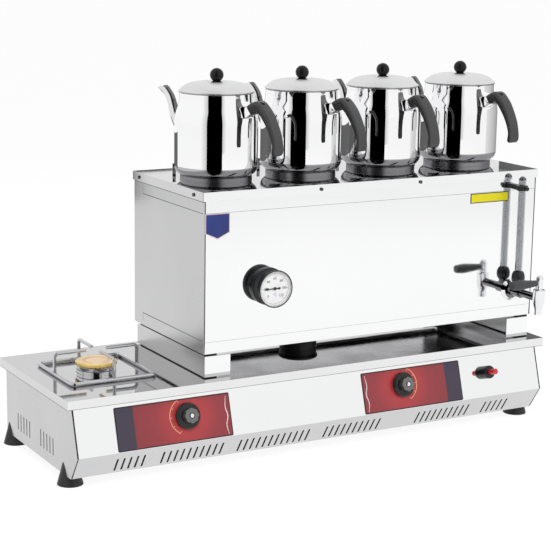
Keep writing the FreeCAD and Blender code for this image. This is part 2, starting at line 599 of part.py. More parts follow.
def burners():
    castings = []
    for side in ("left", "right"):
        at = f"burner_{side}_at"
        shape = turned(f"cup_{side}", [
            ("0", "feed_z - throat_radius"), ("throat_radius", "feed_z - throat_radius"),
            ("throat_radius", "cup_low"), ("cup_radius - 8", "cup_low"),
            ("cup_radius", "cup_low + 8"), ("cup_radius", "tray_top + cup_top"),
            ("0", "tray_top + cup_top")])
        put(shape, at, "burner_y")
        mixer = rod(f"mixer_{side}", "throat_radius - 1", "burner_deep - mixer_front",
                    (at, "burner_y", "feed_z"), "-y")
        mouth = doc.addObject("Part::Cone", f"mouth_{side}")
        bind(mouth, Radius1="throat_radius - 1", Radius2="mouth_radius", Height="mouth_long")
        put(mouth, at, "boiler_front + mixer_front + mouth_long - 4", "feed_z", turns["-y"])
        hollow = turned(f"cup_hollow_{side}", [
            ("0", "feed_z - throat_radius + throat_wall"),
            ("throat_radius - throat_wall", "feed_z - throat_radius + throat_wall"),
            ("throat_radius - throat_wall", "cup_low + cup_wall"),
            ("cup_radius - cup_wall - 7", "cup_low + cup_wall"),
            ("cup_radius - cup_wall", "cup_low + cup_wall + 7"),
            ("cup_radius - cup_wall", "tray_top + cup_top + 1"), ("0", "tray_top + cup_top + 1")])
        put(hollow, at, "burner_y")
        bore = rod(f"mixer_bore_{side}", "throat_radius - 1 - throat_wall",
                   "burner_deep - mixer_front + 20", (at, "burner_y", "feed_z"), "-y")
        castings.append(cut(f"burner_{side}", joined(f"burner_solid_{side}", [shape, mixer, mouth]),
                            [hollow, bore]))

        seat, top = "cup_top", "cap_top"
        cap = turned(f"cap_{side}", [
            ("cap_spigot - 3", f"{seat} - 6"), ("cap_spigot", f"{seat} - 6"),
            ("cap_spigot", seat), ("cap_neck", seat), ("cap_neck", f"{top} - cap_thick"),
            ("cap_radius", f"{top} - cap_thick"), ("cap_radius", f"{top} - 2"),
            ("cap_radius - 3", top), ("cap_ring + 2", top), ("cap_ring + 1", f"{top} - 1.2"),
            ("cap_ring - 1", f"{top} - 1.2"), ("cap_ring - 2", f"{top} - 0.3"),
            ("0", f"{top} - 1"), ("0", f"{top} - cap_thick + 2"),
            ("cap_spigot - 3", f"{top} - cap_thick")])
        sketch = sketch_on(cap, f"port_outline_{side}", "XZ_Plane")
        circle(sketch, "0", f"({seat} + {top} - cap_thick) / 2 + 0.1", "port_radius")
        port = pocket(cap, f"port_{side}", sketch)
        ports = cap.newObject("PartDesign::PolarPattern", f"ports_{side}")
        ports.Originals = [port]
        ports.Axis = (plane(cap, "Z_Axis"), [""])
        ports.Angle = 360
        bind(ports, Occurrences="port_count")
        cap.Tip = ports
        keep(put(cap, at, "burner_y", "tray_top"), f"burner_cap_{side}")
    keep(together("burner_castings", castings), "burner_bodies")

    electrodes, leads = [], []
    for side in ("left", "right"):
        height = f"lead_high_{side}"
        at, behind = f"burner_{side}_at + spark_aside", "burner_y + spark_behind"
        electrodes.append(joined(f"spark_{side}", [
            rod(f"spark_ceramic_{side}", "spark_radius", "spark_long",
                (at, behind, "tray_top - spark_below")),
            rod(f"spark_tip_{side}", "spark_tip", "spark_tip_long", (at, behind, "tray_top"))]))
        lane = "igniter_at + lead_bend" if side == "left" else "igniter_at"
        leads.append(bent_tube(f"lead_{side}", [
            (lane, "edge_y + lead_start", height), (lane, f"{behind} + lead_rear", height),
            (at, f"{behind} + lead_rear", height), (at, behind, height),
            (at, behind, "tray_top - spark_below")],
            "spark_behind / 4", "lead_radius"))
    keep(together("sparks", electrodes), "spark_electrodes")
    keep(together("leads", leads), "ignition_leads")


# The wire frame that a pot stands on over the left burner. The boiler covers the right one.
def pan_support():
    half, low = "support_square / 2", "support_rod + support_lift"
    straight = "support_square - 2 * support_bend"
    pieces = []
    for index, along in enumerate("xyxy"):
        sign = "-" if index < 2 else ""
        across = f"{sign}{half}"
        start = (f"-{half} + support_bend", across, low) if along == "x" else (
            across, f"-{half} + support_bend", low)
        pieces.append(rod(f"support_rod_{index}", "support_rod", straight, start, along))
    for index, (sx, sy) in enumerate(((1, 1), (-1, 1), (-1, -1), (1, -1))):
        bend = doc.addObject("Part::Torus", f"support_corner_{index}")
        bind(bend, Radius1="support_bend", Radius2="support_rod")
        bend.Angle3 = 90
        put(bend, f"{sx} * ({half} - support_bend)", f"{sy} * ({half} - support_bend)", low,
            Rotation(Vector(0, 0, 1), 90 * index))
        pieces.append(bend)
    for index in range(4):
        post = rod(f"finger_post_{index}", "finger_rod",
                   "finger_top - finger_rod - finger_bend - support_rod",
                   (half, "0", "support_rod"))
        bend = doc.addObject("Part::Torus", f"finger_bend_{index}")
        bind(bend, Radius1="finger_bend", Radius2="finger_rod")
        bend.Angle3 = 90
        put(bend, f"{half} - finger_bend", "0", "finger_top - finger_rod - finger_bend",
            turns["-y"])
        arm = rod(f"finger_arm_{index}", "finger_rod",
                  f"{half} - finger_bend - finger_reach",
                  ("finger_reach", "0", "finger_top - finger_rod"), "x")
        finger = joined(f"finger_{index}", [post, bend, arm])
        finger.Placement = Placement(Vector(), Rotation(Vector(0, 0, 1), 90 * index))
        pieces.append(finger)
    keep(put(joined("support", pieces), "burner_left_at", "burner_y", "tray_top"),
         "pan_support")


def stand():
    web_x, deep = "boiler_left + stand_inset", "boiler_deep - 2 * stand_inset"
    front = "boiler_front + stand_inset / 2"
    size = ("boiler_wall", deep, "stand_high")
    web = block("stand_web", (web_x, front, "stand_low"), size)
    pieces = [web]
    for name, y in (("front", front), ("rear", f"{front} + {deep} - boiler_wall")):
        pieces.append(block(f"stand_flange_{name}", (web_x, y, "stand_low"),
                            ("stand_flange", "boiler_wall", "stand_high")))
    for name, z in (("low", "stand_low"), ("top", "stand_top - boiler_wall")):
        pieces.append(block(f"stand_lip_{name}", (web_x, front, z),
                            ("stand_lip", deep, "boiler_wall")))
    left = joined("stand_left", pieces)
    gaskets = []
    for name, z, thick in (("low", "tray_top", "stand_pad"), ("top", "stand_top", "stand_gasket")):
        gaskets.append(block(f"gasket_{name}", (f"{web_x} + 1", f"{front} + 1", z),
                             ("stand_lip - 4", f"{deep} - gasket_short", thick)))
    right, others = [], []
    for item in [left] + gaskets:
        copy = mirrored(item.Name + "_right", item)
        bind(copy, **{"Placement.Base.x": "2 * boiler_shift"})
        (right if item is left else others).append(copy)
    keep(together("stand_pair", [left] + right), "stand_sides")
    keep(together("gasket_set", gaskets + others), "stand_gaskets")


def wall_holes(name, thick_from, length):
    """Clearance for the tap shank and the thermometer bulb through a wall of the boiler."""
    return [rod(f"{name}_tap_hole", "shank_radius + 0.1", length, ("tap_x", thick_from, "tap_z"),
                "y"),
            rod(f"{name}_bulb_hole", "bulb_radius + bulb_gap", length,
                ("dial_x", thick_from, "dial_z"), "y")]


def boiler():
    for face, inward in (("front", "+"), ("back", "-")):
        y, lean, wall = f"boiler_{face}", f"{inward} crease_lean", f"{inward} boiler_wall"
        sheet = new_body(f"boiler_{face}")
        profile = outline(sketch_on(sheet, f"boiler_{face}_outline", "YZ_Plane"), [
            (f"{y} {lean}", "boiler_base"), (y, "boiler_base + crease_low"),
            (y, "boiler_base + crease_high"), (f"{y} {lean}", "boiler_base + side_top"),
            (f"{y} {lean} {wall}", "boiler_base + side_top"),
            (f"{y} {wall}", "boiler_base + crease_high"),
            (f"{y} {wall}", "boiler_base + crease_low"), (f"{y} {lean} {wall}", "boiler_base")])
        pad(sheet, f"boiler_{face}_sheet", profile,
            "boiler_long - 2 * (boiler_wall + corner_seam)", both_ways=True)
        bind(sheet, **{"Placement.Base.x": "boiler_shift"})
        if face == "front":
            sheet = cut("boiler_front_cut", sheet,
                        wall_holes("front_wall", "boiler_front - 5", "2 * tank_gap"))
        keep(sheet, f"boiler_{face}_panel")

    inner = "2 * boiler_wall + crease_lean + 0.2"
    web = block("side_web", ("boiler_left", "boiler_front", "boiler_base"),
                ("boiler_wall", "boiler_deep", "side_top"))
    pieces = [web]
    for name, y in (("front", f"boiler_front + {inner}"),
                    ("rear", f"boiler_back - ({inner}) - boiler_wall")):
        pieces.append(block(f"side_lip_{name}", ("boiler_left", y, "boiler_base"),
                            ("corner_lip", "boiler_wall", "side_top")))
    pieces.append(block("side_base_lip", ("boiler_left", f"boiler_front + {inner}", "boiler_base"),
                        ("base_lip", f"boiler_deep - 2 * ({inner})", "boiler_wall")))
    grooves = [block(f"side_groove_{name}",
                     ("boiler_left - 1", "boiler_front + groove_from",
                      f"boiler_base + groove_{name}"),
                     ("1 + groove_deep", "groove_to - groove_from", "groove_tall"))
               for name in ("low", "high")]
    left = cut("boiler_side", joined("boiler_side_blank", pieces), grooves)
    right = mirrored("boiler_side_right", left)
    bind(right, **{"Placement.Base.x": "2 * boiler_shift"})
    keep(together("boiler_sides", [left, right]), "boiler_side_panels")

    over, wall = "cover_over", "boiler_wall"
    outer = block("cover_outer",
                  (f"boiler_left - {over}", f"boiler_front - {wall}", "cover_low"),
                  (f"boiler_long + 2 * {over}", f"boiler_deep + 2 * {wall}", "cover_skirt"))
    hollow = block("cover_hollow",
                   (f"boiler_left - {over} + {wall}", "boiler_front", "cover_low - cover_skirt"),
                   (f"boiler_long + 2 * ({over} - {wall})", "boiler_deep",
                    f"2 * cover_skirt - {wall}"))
    rounds = [rod(f"cover_hole_{index}", "seat_outer", "2 * cover_skirt",
                  (pot_x(index), "pot_y", "cover_low")) for index in range(4)]
    keep(cut("cover", outer, [hollow] + rounds), "boiler_top_cover")

    tank = block("tank_outer", ("tank_left", "tank_front", "boiler_base + tank_base"),
                 ("tank_long", "tank_deep", "tank_tall"))
    water = block("tank_inside", ("tank_left + tank_wall", "tank_front + tank_wall",
                                  "boiler_base + tank_base + tank_wall"),
                  ("tank_long - 2 * tank_wall", "tank_deep - 2 * tank_wall", "tank_tall"))
    keep(cut("tank", tank, [water] + wall_holes("tank_wall", "boiler_front", "2 * tank_gap")),
         "boiler_tank")

    blanket = block("lagging_outer",
                    ("boiler_left + corner_lip", "boiler_front + 4", "boiler_base + boiler_wall"),
                    ("boiler_long - 2 * corner_lip", "boiler_deep - 8",
                     "lagging_top - boiler_wall"))
    core = block("lagging_inside", ("tank_left", "tank_front", "boiler_base - 1"),
                 ("tank_long", "tank_deep", "boiler_high"))
    corners = [block(f"lagging_corner_{name}", (x, y, "boiler_base - 1"), ("8", "8", "boiler_high"))
               for name, x, y in (
                   ("a", "boiler_left + corner_lip - 6", "boiler_front + 3"),
                   ("b", "boiler_right - corner_lip - 2", "boiler_front + 3"),
                   ("c", "boiler_left + corner_lip - 6", "boiler_back - 11"),
                   ("d", "boiler_right - corner_lip - 2", "boiler_back - 11"))]
    keep(cut("lagging", blanket, [core] + corners
             + wall_holes("lagging", "boiler_front", "2 * tank_gap")), "boiler_insulation")

    screws = []
    height = "boiler_top - screw_down"
    spots = [(f"boiler_left + screw_{side}_at", "boiler_front - boiler_wall", "y", f"front_{side}")
             for side in ("left", "right")]
    spots += [(f"boiler_left + screw_{side}_at", "boiler_back + boiler_wall", "-y", f"rear_{side}")
              for side in ("left", "right")]
    spots += [("boiler_left - cover_over", f"boiler_front + screw_{end}", "x", f"left_{end}")
              for end in ("front", "rear")]
    for x, y, along, name in spots:
        head = rod(f"screw_head_{name}", "screw_head", "screw_proud", (x, y, height), along)
        outward = {"y": ("0", "-screw_proud"), "-y": ("0", "screw_proud"),
                   "x": ("-screw_proud", "0")}[along]
        put(head, f"{x} + ({outward[0]})", f"{y} + ({outward[1]})", height, turns[along])
        shank = rod(f"screw_shank_{name}", "screw_shank", "screw_long", (x, y, height), along)
        screws.append(joined(f"screw_{name}", [head, shank]))
    for screw in screws[4:]:
        copy = mirrored(screw.Name + "_right", screw)
        bind(copy, **{"Placement.Base.x": "2 * boiler_shift"})
        screws.append(copy)
    keep(together("screws", screws[:8]), "cover_screws")

    badge = new_body("badge")
    shape = outline(sketch_on(badge, "badge_outline", "XZ_Plane"), [
        ("0", "badge_tall"), ("0", "badge_side"), ("badge_long / 2", "0"),
        ("badge_long", "badge_side"), ("badge_long", "badge_tall")])
    pad(badge, "badge_pad", shape, "label_thick")
    put(badge, "boiler_left + badge_at", "boiler_front", "boiler_base + badge_low")
    strip = block("strip", ("boiler_left + strip_at", "boiler_front - label_thick",
                            "boiler_base + strip_low"), ("strip_long", "label_thick", "strip_tall"))
    keep(together("labels", [badge, strip]), "front_plates")


def pot_x(index):
    extra = " + pot_4_aside" if index == 3 else ""
    return f"boiler_shift + pot_aside + ({index} - 1.5) * pot_pitch{extra}"


def pot_seats():
    rings, stops = [], []
    for index in range(4):
        ring = turned(f"seat_{index + 1}", [
            ("seat_ledge", "-seat_sink - 1.5"), ("seat_inner", "-seat_sink - 1.5"),
            ("seat_inner", "-seat_skirt"), ("seat_outer", "-seat_skirt"),
            ("seat_outer", "seat_proud"), ("seat_inner", "seat_proud"),
            ("seat_inner", "-seat_sink"), ("seat_ledge", "-seat_sink")])
        rings.append(put(ring, pot_x(index), "pot_y", "boiler_top"))
        for side, sign in (("left", -1), ("right", 1)):
            stops.append(block(f"stop_{index + 1}_{side}",
                               (f"{pot_x(index)} + {sign} * stop_aside - stop_wide / 2",
                                "pot_y + stop_behind", "boiler_top"),
                               ("stop_wide", "stop_thick", "stop_tall")))
    keep(together("seats", rings), "pot_seat_rings")
    keep(together("stops", stops), "pot_stops")


def tilted_sketch(body, name, reach, height, lean):
    """A sketch across a curved part: reach and height place it, lean turns it about Y."""
    sketch = body.newObject("Sketcher::SketchObject", name)
    sketch.AttachmentSupport = [(plane(body, "XY_Plane"), "")]
    sketch.MapMode = "FlatFace"
    sketch.AttachmentOffset = Placement(Vector(reach, 0, height), Rotation(Vector(0, 1, 0), lean))
    return sketch


def loft(body, name, kind, sections):
    item = body.newObject("PartDesign::" + kind, name)
    item.Profile = sections[0]
    item.Sections = sections[1:]
    return item


# Spout stations from the pot's wall to its lip: out from the axis, up, lean, outer radius.
spout_stations = [
    (72, 81.5, -50, 15), (97, 104, -44, 12.3), (113.5, 126, -28, 10), (122, 146, -19, 8.4),
    (128.5, 162, -27, 7.6), (138, 174, -44, 7.4)]
spout_wall = 1

# The spout's mouth: out, up, lean, half length and half width of its oval.
spout_mouth = (149.4, 183.2, -14.1, 13.5, 8)

# Handle stations from the socket to the free end: out, up, lean, thickness, width.
handle_stations = [
    (95.05, 153.25, 57.35, 19.9, 26), (104.5, 158, 79, 21.5, 28), (116, 161.5, 93, 21, 29),
    (129, 151.3, 127.8, 16.5, 29), (136.3, 142.6, 146.5, 16, 28.5), (146.4, 127.1, 154.8, 13.5, 28),
    (155.5, 108.9, 169, 11.3, 28), (160.7, 91, 177, 8, 27), (161.5, 80, 181, 7.2, 26),
    (160, 74.5, 184, 8.2, 24), (159.5, 70, 184, 5, 18)]


def teapot(index):
    number_of = index + 1
    x = pot_x(index)
    turn = Rotation(Vector(0, 0, 1), -driving[f"pot_turn_{number_of}"])

    def stand_here(item, height="pot_rest"):
        return put(item, x, "pot_y", height, turn)

    pot = new_body(f"pot_{number_of}")
    revolve(pot, f"pot_outside_{number_of}", [
        ("0", "0"), ("pot_base", "0"), ("pot_base", "pot_base_tall"),
        ("pot_flare_from", "pot_base_tall"), ("pot_radius", "pot_flare_top"),
        ("pot_radius", "pot_shoulder", "shoulder_bend"), ("pot_neck", "pot_neck_low"),
        ("pot_neck", "pot_high - pot_rim_tall"), ("pot_rim", "pot_high - pot_rim_tall"),
        ("pot_rim", "pot_high"), ("0", "pot_high")])
    sections = []
    for step, (out, up, lean, radius) in enumerate(spout_stations):
        sketch = tilted_sketch(pot, f"spout_{number_of}_{step}", -out, up, lean)
        sections.append(circle(sketch, "0", "0", str(radius)))
    mouth_out, mouth_up, mouth_lean, half_long, half_wide = spout_mouth
    sketch = tilted_sketch(pot, f"spout_mouth_{number_of}", -mouth_out, mouth_up, mouth_lean)
    sections.append(oval(sketch, half_long, half_wide))
    loft(pot, f"spout_{number_of}", "AdditiveLoft", sections)
    bracket = outline(sketch_on(pot, f"bracket_outline_{number_of}", "XZ_Plane"), [
        ("pot_neck - 2", "bracket_low"), ("pot_radius - 1", "bracket_low"),
        ("bracket_out", "bracket_out_low"), ("bracket_in", "bracket_in_high"),
        ("pot_neck - 2", "bracket_high")])
    pad(pot, f"bracket_{number_of}", bracket, "bracket_wide", both_ways=True)
    revolve(pot, f"pot_inside_{number_of}", [
        ("0", "pot_floor"), ("pot_base - pot_wall", "pot_floor"),
        ("pot_base - pot_wall", "pot_base_tall + pot_wall / 2"),
        ("pot_flare_from - pot_wall", "pot_base_tall + pot_wall / 2"),
        ("pot_radius - pot_wall", "pot_flare_top + pot_wall / 2"),
        ("pot_radius - pot_wall", "pot_shoulder", "shoulder_bend"),
        ("pot_neck - pot_wall", "pot_neck_low"), ("pot_neck - pot_wall", "pot_high + 1"),
        ("0", "pot_high + 1")], "Groove")
    sections = []
    for step, (out, up, lean, radius) in enumerate(spout_stations):
        sketch = tilted_sketch(pot, f"spout_bore_{number_of}_{step}", -out, up, lean)
        sections.append(circle(sketch, "0", "0", f"{radius} - {spout_wall}"))
    sketch = tilted_sketch(pot, f"spout_opening_{number_of}", -mouth_out, mouth_up + spout_wall,
                           mouth_lean)
    sections.append(oval(sketch, half_long - spout_wall, half_wide - spout_wall))
    loft(pot, f"spout_bore_{number_of}", "SubtractiveLoft", sections)
    keep(stand_here(pot), f"pot_{number_of}_body")

    handle = new_body(f"handle_{number_of}")
    sections = []
    for step, (out, up, lean, thick, wide) in enumerate(handle_stations):
        sketch = tilted_sketch(handle, f"handle_{number_of}_{step}", out, up, lean)
        sections.append(outline(sketch, [
            (f"-{thick} / 2", f"-{wide} * handle_face"), (f"-{thick} / 6", f"-{wide} / 2"),
            (f"{thick} / 2", f"-{wide} * handle_inner"), (f"{thick} / 2", f"{wide} * handle_inner"),
            (f"-{thick} / 6", f"{wide} / 2"), (f"-{thick} / 2", f"{wide} * handle_face")]))
    loft(handle, f"handle_loft_{number_of}", "AdditiveLoft", sections)
    keep(stand_here(handle), f"pot_{number_of}_handle")

    skirt = "pot_neck - pot_wall - lid_gap"
    lid = turned(f"lid_{number_of}", [
        ("stud_radius + stud_gap", "lid_dish_high - lid_wall"),
        ("lid_dish", "lid_dish_high - lid_wall"), ("lid_crest", "lid_crest_high - lid_wall"),
        ("lid_side - lid_wall / 2", "lid_side_high - lid_wall"),
        (f"{skirt} - lid_wall", "lid_hip_high - lid_wall"), (f"{skirt} - lid_wall", "-lid_sink"),
        (skirt, "-lid_sink"), (skirt, "0"), ("lid_radius", "0"), ("lid_radius", "lid_edge"),
        ("lid_hip", "lid_hip_high", "lid_hip_bend"),
        ("lid_side", "lid_side_high", "lid_side_bend"),
        ("lid_crest", "lid_crest_high", "lid_crest_bend"), ("lid_dish", "lid_dish_high"),
        ("stud_radius + stud_gap", "lid_dish_high")])
    keep(stand_here(lid, "pot_rest + pot_high"), f"pot_{number_of}_lid")
    ball = turned(f"lid_knob_{number_of}", [
        ("0", "lid_dish_high - 6"), ("stud_radius", "lid_dish_high - 6"),
        ("stud_radius", "lid_dish_high"), ("button_base", "lid_dish_high"),
        ("button_base", "lid_dish_high + button_rim", "-button_hollow"),
        ("button_neck", "ball_high - sqrt(ball_radius^2 - button_neck^2)", "ball_radius"),
        ("0", "ball_high + ball_radius")])
    keep(stand_here(ball, "pot_rest + pot_high"), f"pot_{number_of}_lid_knob")


def thermometer():
    def on_front(item):
        return put(item, "dial_x", "boiler_front", "dial_z", turns["-y"])

    case = turned("dial_case", [
        ("0", "-bulb_long"), ("bulb_radius", "-bulb_long"), ("bulb_radius", "0"),
        ("case_neck_radius", "0"), ("case_radius", "case_neck"), ("case_radius", "case_out - 1"),
        ("case_radius - 1", "case_out"), ("case_radius - case_wall", "case_out"),
        ("case_radius - case_wall", "case_out - face_deep"),
        ("case_radius - 2 * case_wall", "case_out - face_deep"),
        ("case_radius - 2 * case_wall", "case_neck + case_floor"), ("0", "case_neck + case_floor")])
    keep(on_front(case), "thermometer_case")
    face = turned("dial_face", [
        ("needle_pin + 0.2", "case_out - face_deep"),
        ("case_radius - case_wall - 0.1", "case_out - face_deep"),
        ("case_radius - case_wall - 0.1", "case_out - face_deep + face_thick"),
        ("needle_pin + 0.2", "case_out - face_deep + face_thick")])
    keep(on_front(face), "thermometer_dial")
    pane = turned("dial_pane", [
        ("0", "case_out - pane_deep - pane_thick"),
        ("case_radius - case_wall - 0.1", "case_out - pane_deep - pane_thick"),
        ("case_radius - case_wall - 0.1", "case_out - pane_deep"), ("0", "case_out - pane_deep")])
    keep(on_front(pane), "thermometer_glass")

    level = "case_out - face_deep + face_thick + needle_gap"
    needle = new_body("needle")
    shape = outline(sketch_on(needle, "needle_outline", "XY_Plane", level), [
        ("-needle_long", "0"), ("-needle_long + 8", "-1.8"), ("-needle_long + 11", "-0.6"),
        ("0", "-0.9"), ("needle_tail", "-1.4"), ("needle_tail", "1.4"), ("0", "0.9"),
        ("-needle_long + 11", "0.6"), ("-needle_long + 8", "1.8")])
    pad(needle, "needle_blade", shape, "needle_thick")
    hub = rod("needle_hub", "needle_hub", "needle_thick", ("0", "0", level))
    pin = rod("needle_pin", "needle_pin", f"{level} - case_neck - case_floor - 4",
              ("0", "0", "case_neck + case_floor + 4"))
    keep(on_front(joined("needle_whole", [needle, hub, pin])), "thermometer_pointer")


def tap():
    out = "tap_out - barrel_radius + 3"
    shank = turned("shank", [
        ("0", f"-tank_gap - shank_in"), ("shank_radius", f"-tank_gap - shank_in"),
        ("shank_radius", "0"), ("flange_radius", "0"), ("flange_radius", "2"),
        ("flange_dish + 1", "flange_out"), ("flange_dish", "flange_out - 2"),
        ("shank_radius + 3", "flange_out - 2"), ("shank_radius", "flange_out + 4"),
        ("shank_radius", out), ("0", out)])
    put(shank, "tap_x", "boiler_front", "tap_z", turns["-y"])
    collar = rod("tee_collar", "shank_radius + 3", "26", ("tap_x", "glass_y + 13", "tap_z"), "-y")
    riser = rod("tee_riser", "glass_radius + 1", "nut_low - tap_high", ("tap_x", "glass_y", "tap_z"))
    barrel_space = rod("shank_end_cut", "barrel_radius", "barrel_top",
                       ("tap_x", "tap_y", "boiler_base"))
    water = rod("shank_water", "shank_bore", "tap_out + tank_gap + shank_in + 1",
                ("tap_x", "tank_front + shank_in + 1", "tap_z"), "-y")
    riser_water = rod("riser_water", "glass_bore - 1", "nut_low", ("tap_x", "glass_y", "tap_z"))
    keep(cut("shank_whole", joined("shank_solid", [shank, collar, riser]),
             [barrel_space, water, riser_water]), "tap_shank")

    barrel = turned("barrel", [
        ("0", "spout_low"), ("spout_radius - 0.3", "spout_low"), ("spout_radius", "spout_top"),
        ("barrel_radius", "barrel_waist - 14"), ("barrel_radius", "barrel_top - 1.5"),
        ("barrel_radius - 1.5", "barrel_top"), ("0", "barrel_top")])
    put(barrel, "tap_x", "tap_y", "boiler_base")
    bores = [
        rod("barrel_outlet", "spout_bore", "tap_high - spout_low + 4",
            ("tap_x", "tap_y", "boiler_base + spout_low - 4")),
        rod("barrel_inlet", "shank_bore", "barrel_radius + 2", ("tap_x", "tap_y", "tap_z"), "y"),
        rod("barrel_socket", "spindle_radius + running_gap", "spindle_deep + 1",
            ("tap_x", "tap_y", "boiler_base + barrel_top - spindle_deep"))]
    keep(cut("barrel_bored", barrel, bores), "tap_body")

    hub = turned("tap_hub", [
        ("0", "barrel_top - spindle_deep + 0.5"),
        ("spindle_radius", "barrel_top - spindle_deep + 0.5"), ("spindle_radius", "hub_low"),
        ("hub_radius", "hub_low"), ("hub_radius", "hub_top"), ("hub_radius - 1", "hub_top"),
        ("hub_radius - 1", "hub_top + 3", "hub_radius"), ("dome_flat", "dome_top"),
        ("0", "dome_top")])
    put(hub, "tap_x", "tap_y", "boiler_base")
    grip = turned("tap_grip", [
        ("0", "0"), ("grip_waist", "0"), ("grip_waist", "grip_waist_at"),
        ("grip_belly", "grip_belly_at", "grip_bend"), ("grip_end", "grip_end_at"), ("0", "grip_end_at")])
    put(grip, "tap_x", "tap_y", "boiler_base + grip_high", Rotation(Vector(0, 1, 0), -90))
    keep(joined("tap_lever_whole", [hub, grip]), "tap_lever")

    tube = turned("glass_tube", [
        ("glass_bore", "nut_low + nut_seat"), ("glass_radius", "nut_low + nut_seat"),
        ("glass_radius", "glass_top - glass_radius", "glass_radius"), ("0", "glass_top"),
        ("0", "glass_top - glass_radius + glass_bore", "-glass_bore"),
        ("glass_bore", "glass_top - glass_radius")])
    keep(put(tube, "tap_x", "glass_y", "boiler_base"), "sight_glass_tube")

    nut = doc.addObject("Part::Prism", "gland_nut")
    nut.Polygon = 8
    bind(nut, Circumradius="nut_radius", Height="nut_top - nut_low")
    put(nut, "tap_x", "glass_y", "boiler_base + nut_low")
    gland = cut("gland", nut, [
        rod("gland_seat", "glass_radius + glass_gap", "nut_top",
            ("tap_x", "glass_y", "boiler_base + nut_low + nut_seat")),
        rod("gland_bore", "glass_bore - 1", "nut_top", ("tap_x", "glass_y", "boiler_base"))])
    height = "boiler_base + clamp_low"
    ring = rod("clamp_ring", "clamp_radius", "clamp_tall", ("tap_x", "glass_y", height))
    bar = block("clamp_bar", ("tap_x - clamp_bar / 2", "glass_y", height),
                ("clamp_bar", "glass_out", "clamp_tall"))
    bolt = rod("clamp_bolt", "clamp_tall / 2 - 0.5", "clamp_bolt",
               ("tap_x", "glass_y - clamp_radius + 1", f"{height} + clamp_tall / 2"), "-y")
    space = rod("clamp_space", "glass_radius + glass_gap", "3 * clamp_tall",
                ("tap_x", "glass_y", f"{height} - clamp_tall"))
    clamp = cut("clamp", joined("clamp_solid", [ring, bar, bolt]), [space])
    keep(together("glass_fittings", [gland, clamp]), "sight_glass_fittings")


stove_tray()
stove_casing()
control_panel()
gas_rail()
burners()
pan_support()
stand()
boiler()
pot_seats()
for index in range(4):
    teapot(index)
thermometer()
tap()

doc.removeObject("desk")
doc.recompute()

faults = [item.Label for item in doc.Objects
          if "Invalid" in item.State or "Error" in item.State]
faults += [item.Label for item in sub_parts if item.Shape.isNull() or not item.Shape.isValid()]
if faults:
    raise SystemExit("These did not build: " + ", ".join(faults))

os.makedirs("parts", exist_ok=True)
for item in sub_parts:
    item.Shape.exportStep(f"parts/{item.Label}.step")
    print(item.Label, len(item.Shape.Solids), round(item.Shape.Volume))
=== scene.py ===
import json
import math

import bmesh
import bpy
from mathutils import Matrix, Vector

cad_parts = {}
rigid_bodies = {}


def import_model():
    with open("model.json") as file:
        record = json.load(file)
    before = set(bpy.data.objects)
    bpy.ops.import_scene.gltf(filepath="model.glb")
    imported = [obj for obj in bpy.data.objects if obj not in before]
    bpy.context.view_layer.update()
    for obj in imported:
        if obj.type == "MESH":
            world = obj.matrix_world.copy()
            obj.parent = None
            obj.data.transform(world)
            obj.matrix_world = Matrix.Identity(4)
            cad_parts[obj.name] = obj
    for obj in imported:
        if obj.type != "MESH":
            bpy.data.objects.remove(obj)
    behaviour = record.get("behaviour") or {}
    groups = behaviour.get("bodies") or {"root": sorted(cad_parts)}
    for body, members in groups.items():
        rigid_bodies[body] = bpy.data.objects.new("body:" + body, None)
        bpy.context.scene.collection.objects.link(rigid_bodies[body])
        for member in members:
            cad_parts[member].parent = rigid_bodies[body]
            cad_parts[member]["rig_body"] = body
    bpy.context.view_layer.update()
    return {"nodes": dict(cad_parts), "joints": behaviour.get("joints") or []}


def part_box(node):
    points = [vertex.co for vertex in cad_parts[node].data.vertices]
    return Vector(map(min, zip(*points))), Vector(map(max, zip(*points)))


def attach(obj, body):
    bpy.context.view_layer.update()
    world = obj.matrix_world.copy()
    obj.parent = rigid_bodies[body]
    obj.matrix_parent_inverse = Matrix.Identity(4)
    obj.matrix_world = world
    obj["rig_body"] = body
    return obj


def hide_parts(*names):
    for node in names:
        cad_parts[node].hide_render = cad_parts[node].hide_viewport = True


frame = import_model()
nodes = frame["nodes"]
joints = {joint["name"]: joint for joint in frame["joints"]}
scene = bpy.context.scene
mm = 0.001
print("frame loaded,", len(nodes), "parts")


def placed(name, data):
    item = bpy.data.objects.new(name, data)
    scene.collection.objects.link(item)
    return item


# A place is a matrix. Shifts and points on it are given in millimetres.
def axes(along, across, out):
    return Matrix((along, across, out)).transposed().to_4x4()


def moved(x, y, z):
    return Matrix.Translation((x * mm, y * mm, z * mm))


def pointAt(place, x, y, z):
    return place @ Vector((x * mm, y * mm, z * mm))


# Camera and studio

cameraView = {"azimuth": -29.688, "elevation": 11.875, "roll": 0.901,
              "lens": 106.03, "sensor": 36, "place": (-1.6585, -2.85355, 1.0347)}


def makeCamera(view):
    azimuth, elevation, roll = (math.radians(view[key]) for key in ("azimuth", "elevation", "roll"))
    back = Vector((math.sin(azimuth) * math.cos(elevation),
                   -math.cos(azimuth) * math.cos(elevation), math.sin(elevation)))
    right = Vector((math.cos(azimuth), math.sin(azimuth), 0))
    up = back.cross(right)
    data = bpy.data.cameras.new("photoCamera")
    data.lens = view["lens"]
    data.sensor_width = view["sensor"]
    camera = placed("photoCamera", data)
    across = right * math.cos(roll) + up * math.sin(roll)
    upright = up * math.cos(roll) - right * math.sin(roll)
    camera.matrix_world = Matrix.Translation(view["place"]) @ axes(across, upright, back)
    scene.camera = camera


def addNode(tree, kind, values=None, **settings):
    node = tree.nodes.new("ShaderNode" + kind)
    for key, value in settings.items():
        setattr(node, key, value)
    for key, value in (values or {}).items():
        node.inputs[key].default_value = value
    return node


def join(tree, *links):
    for start, end in links:
        tree.links.new(start, end)


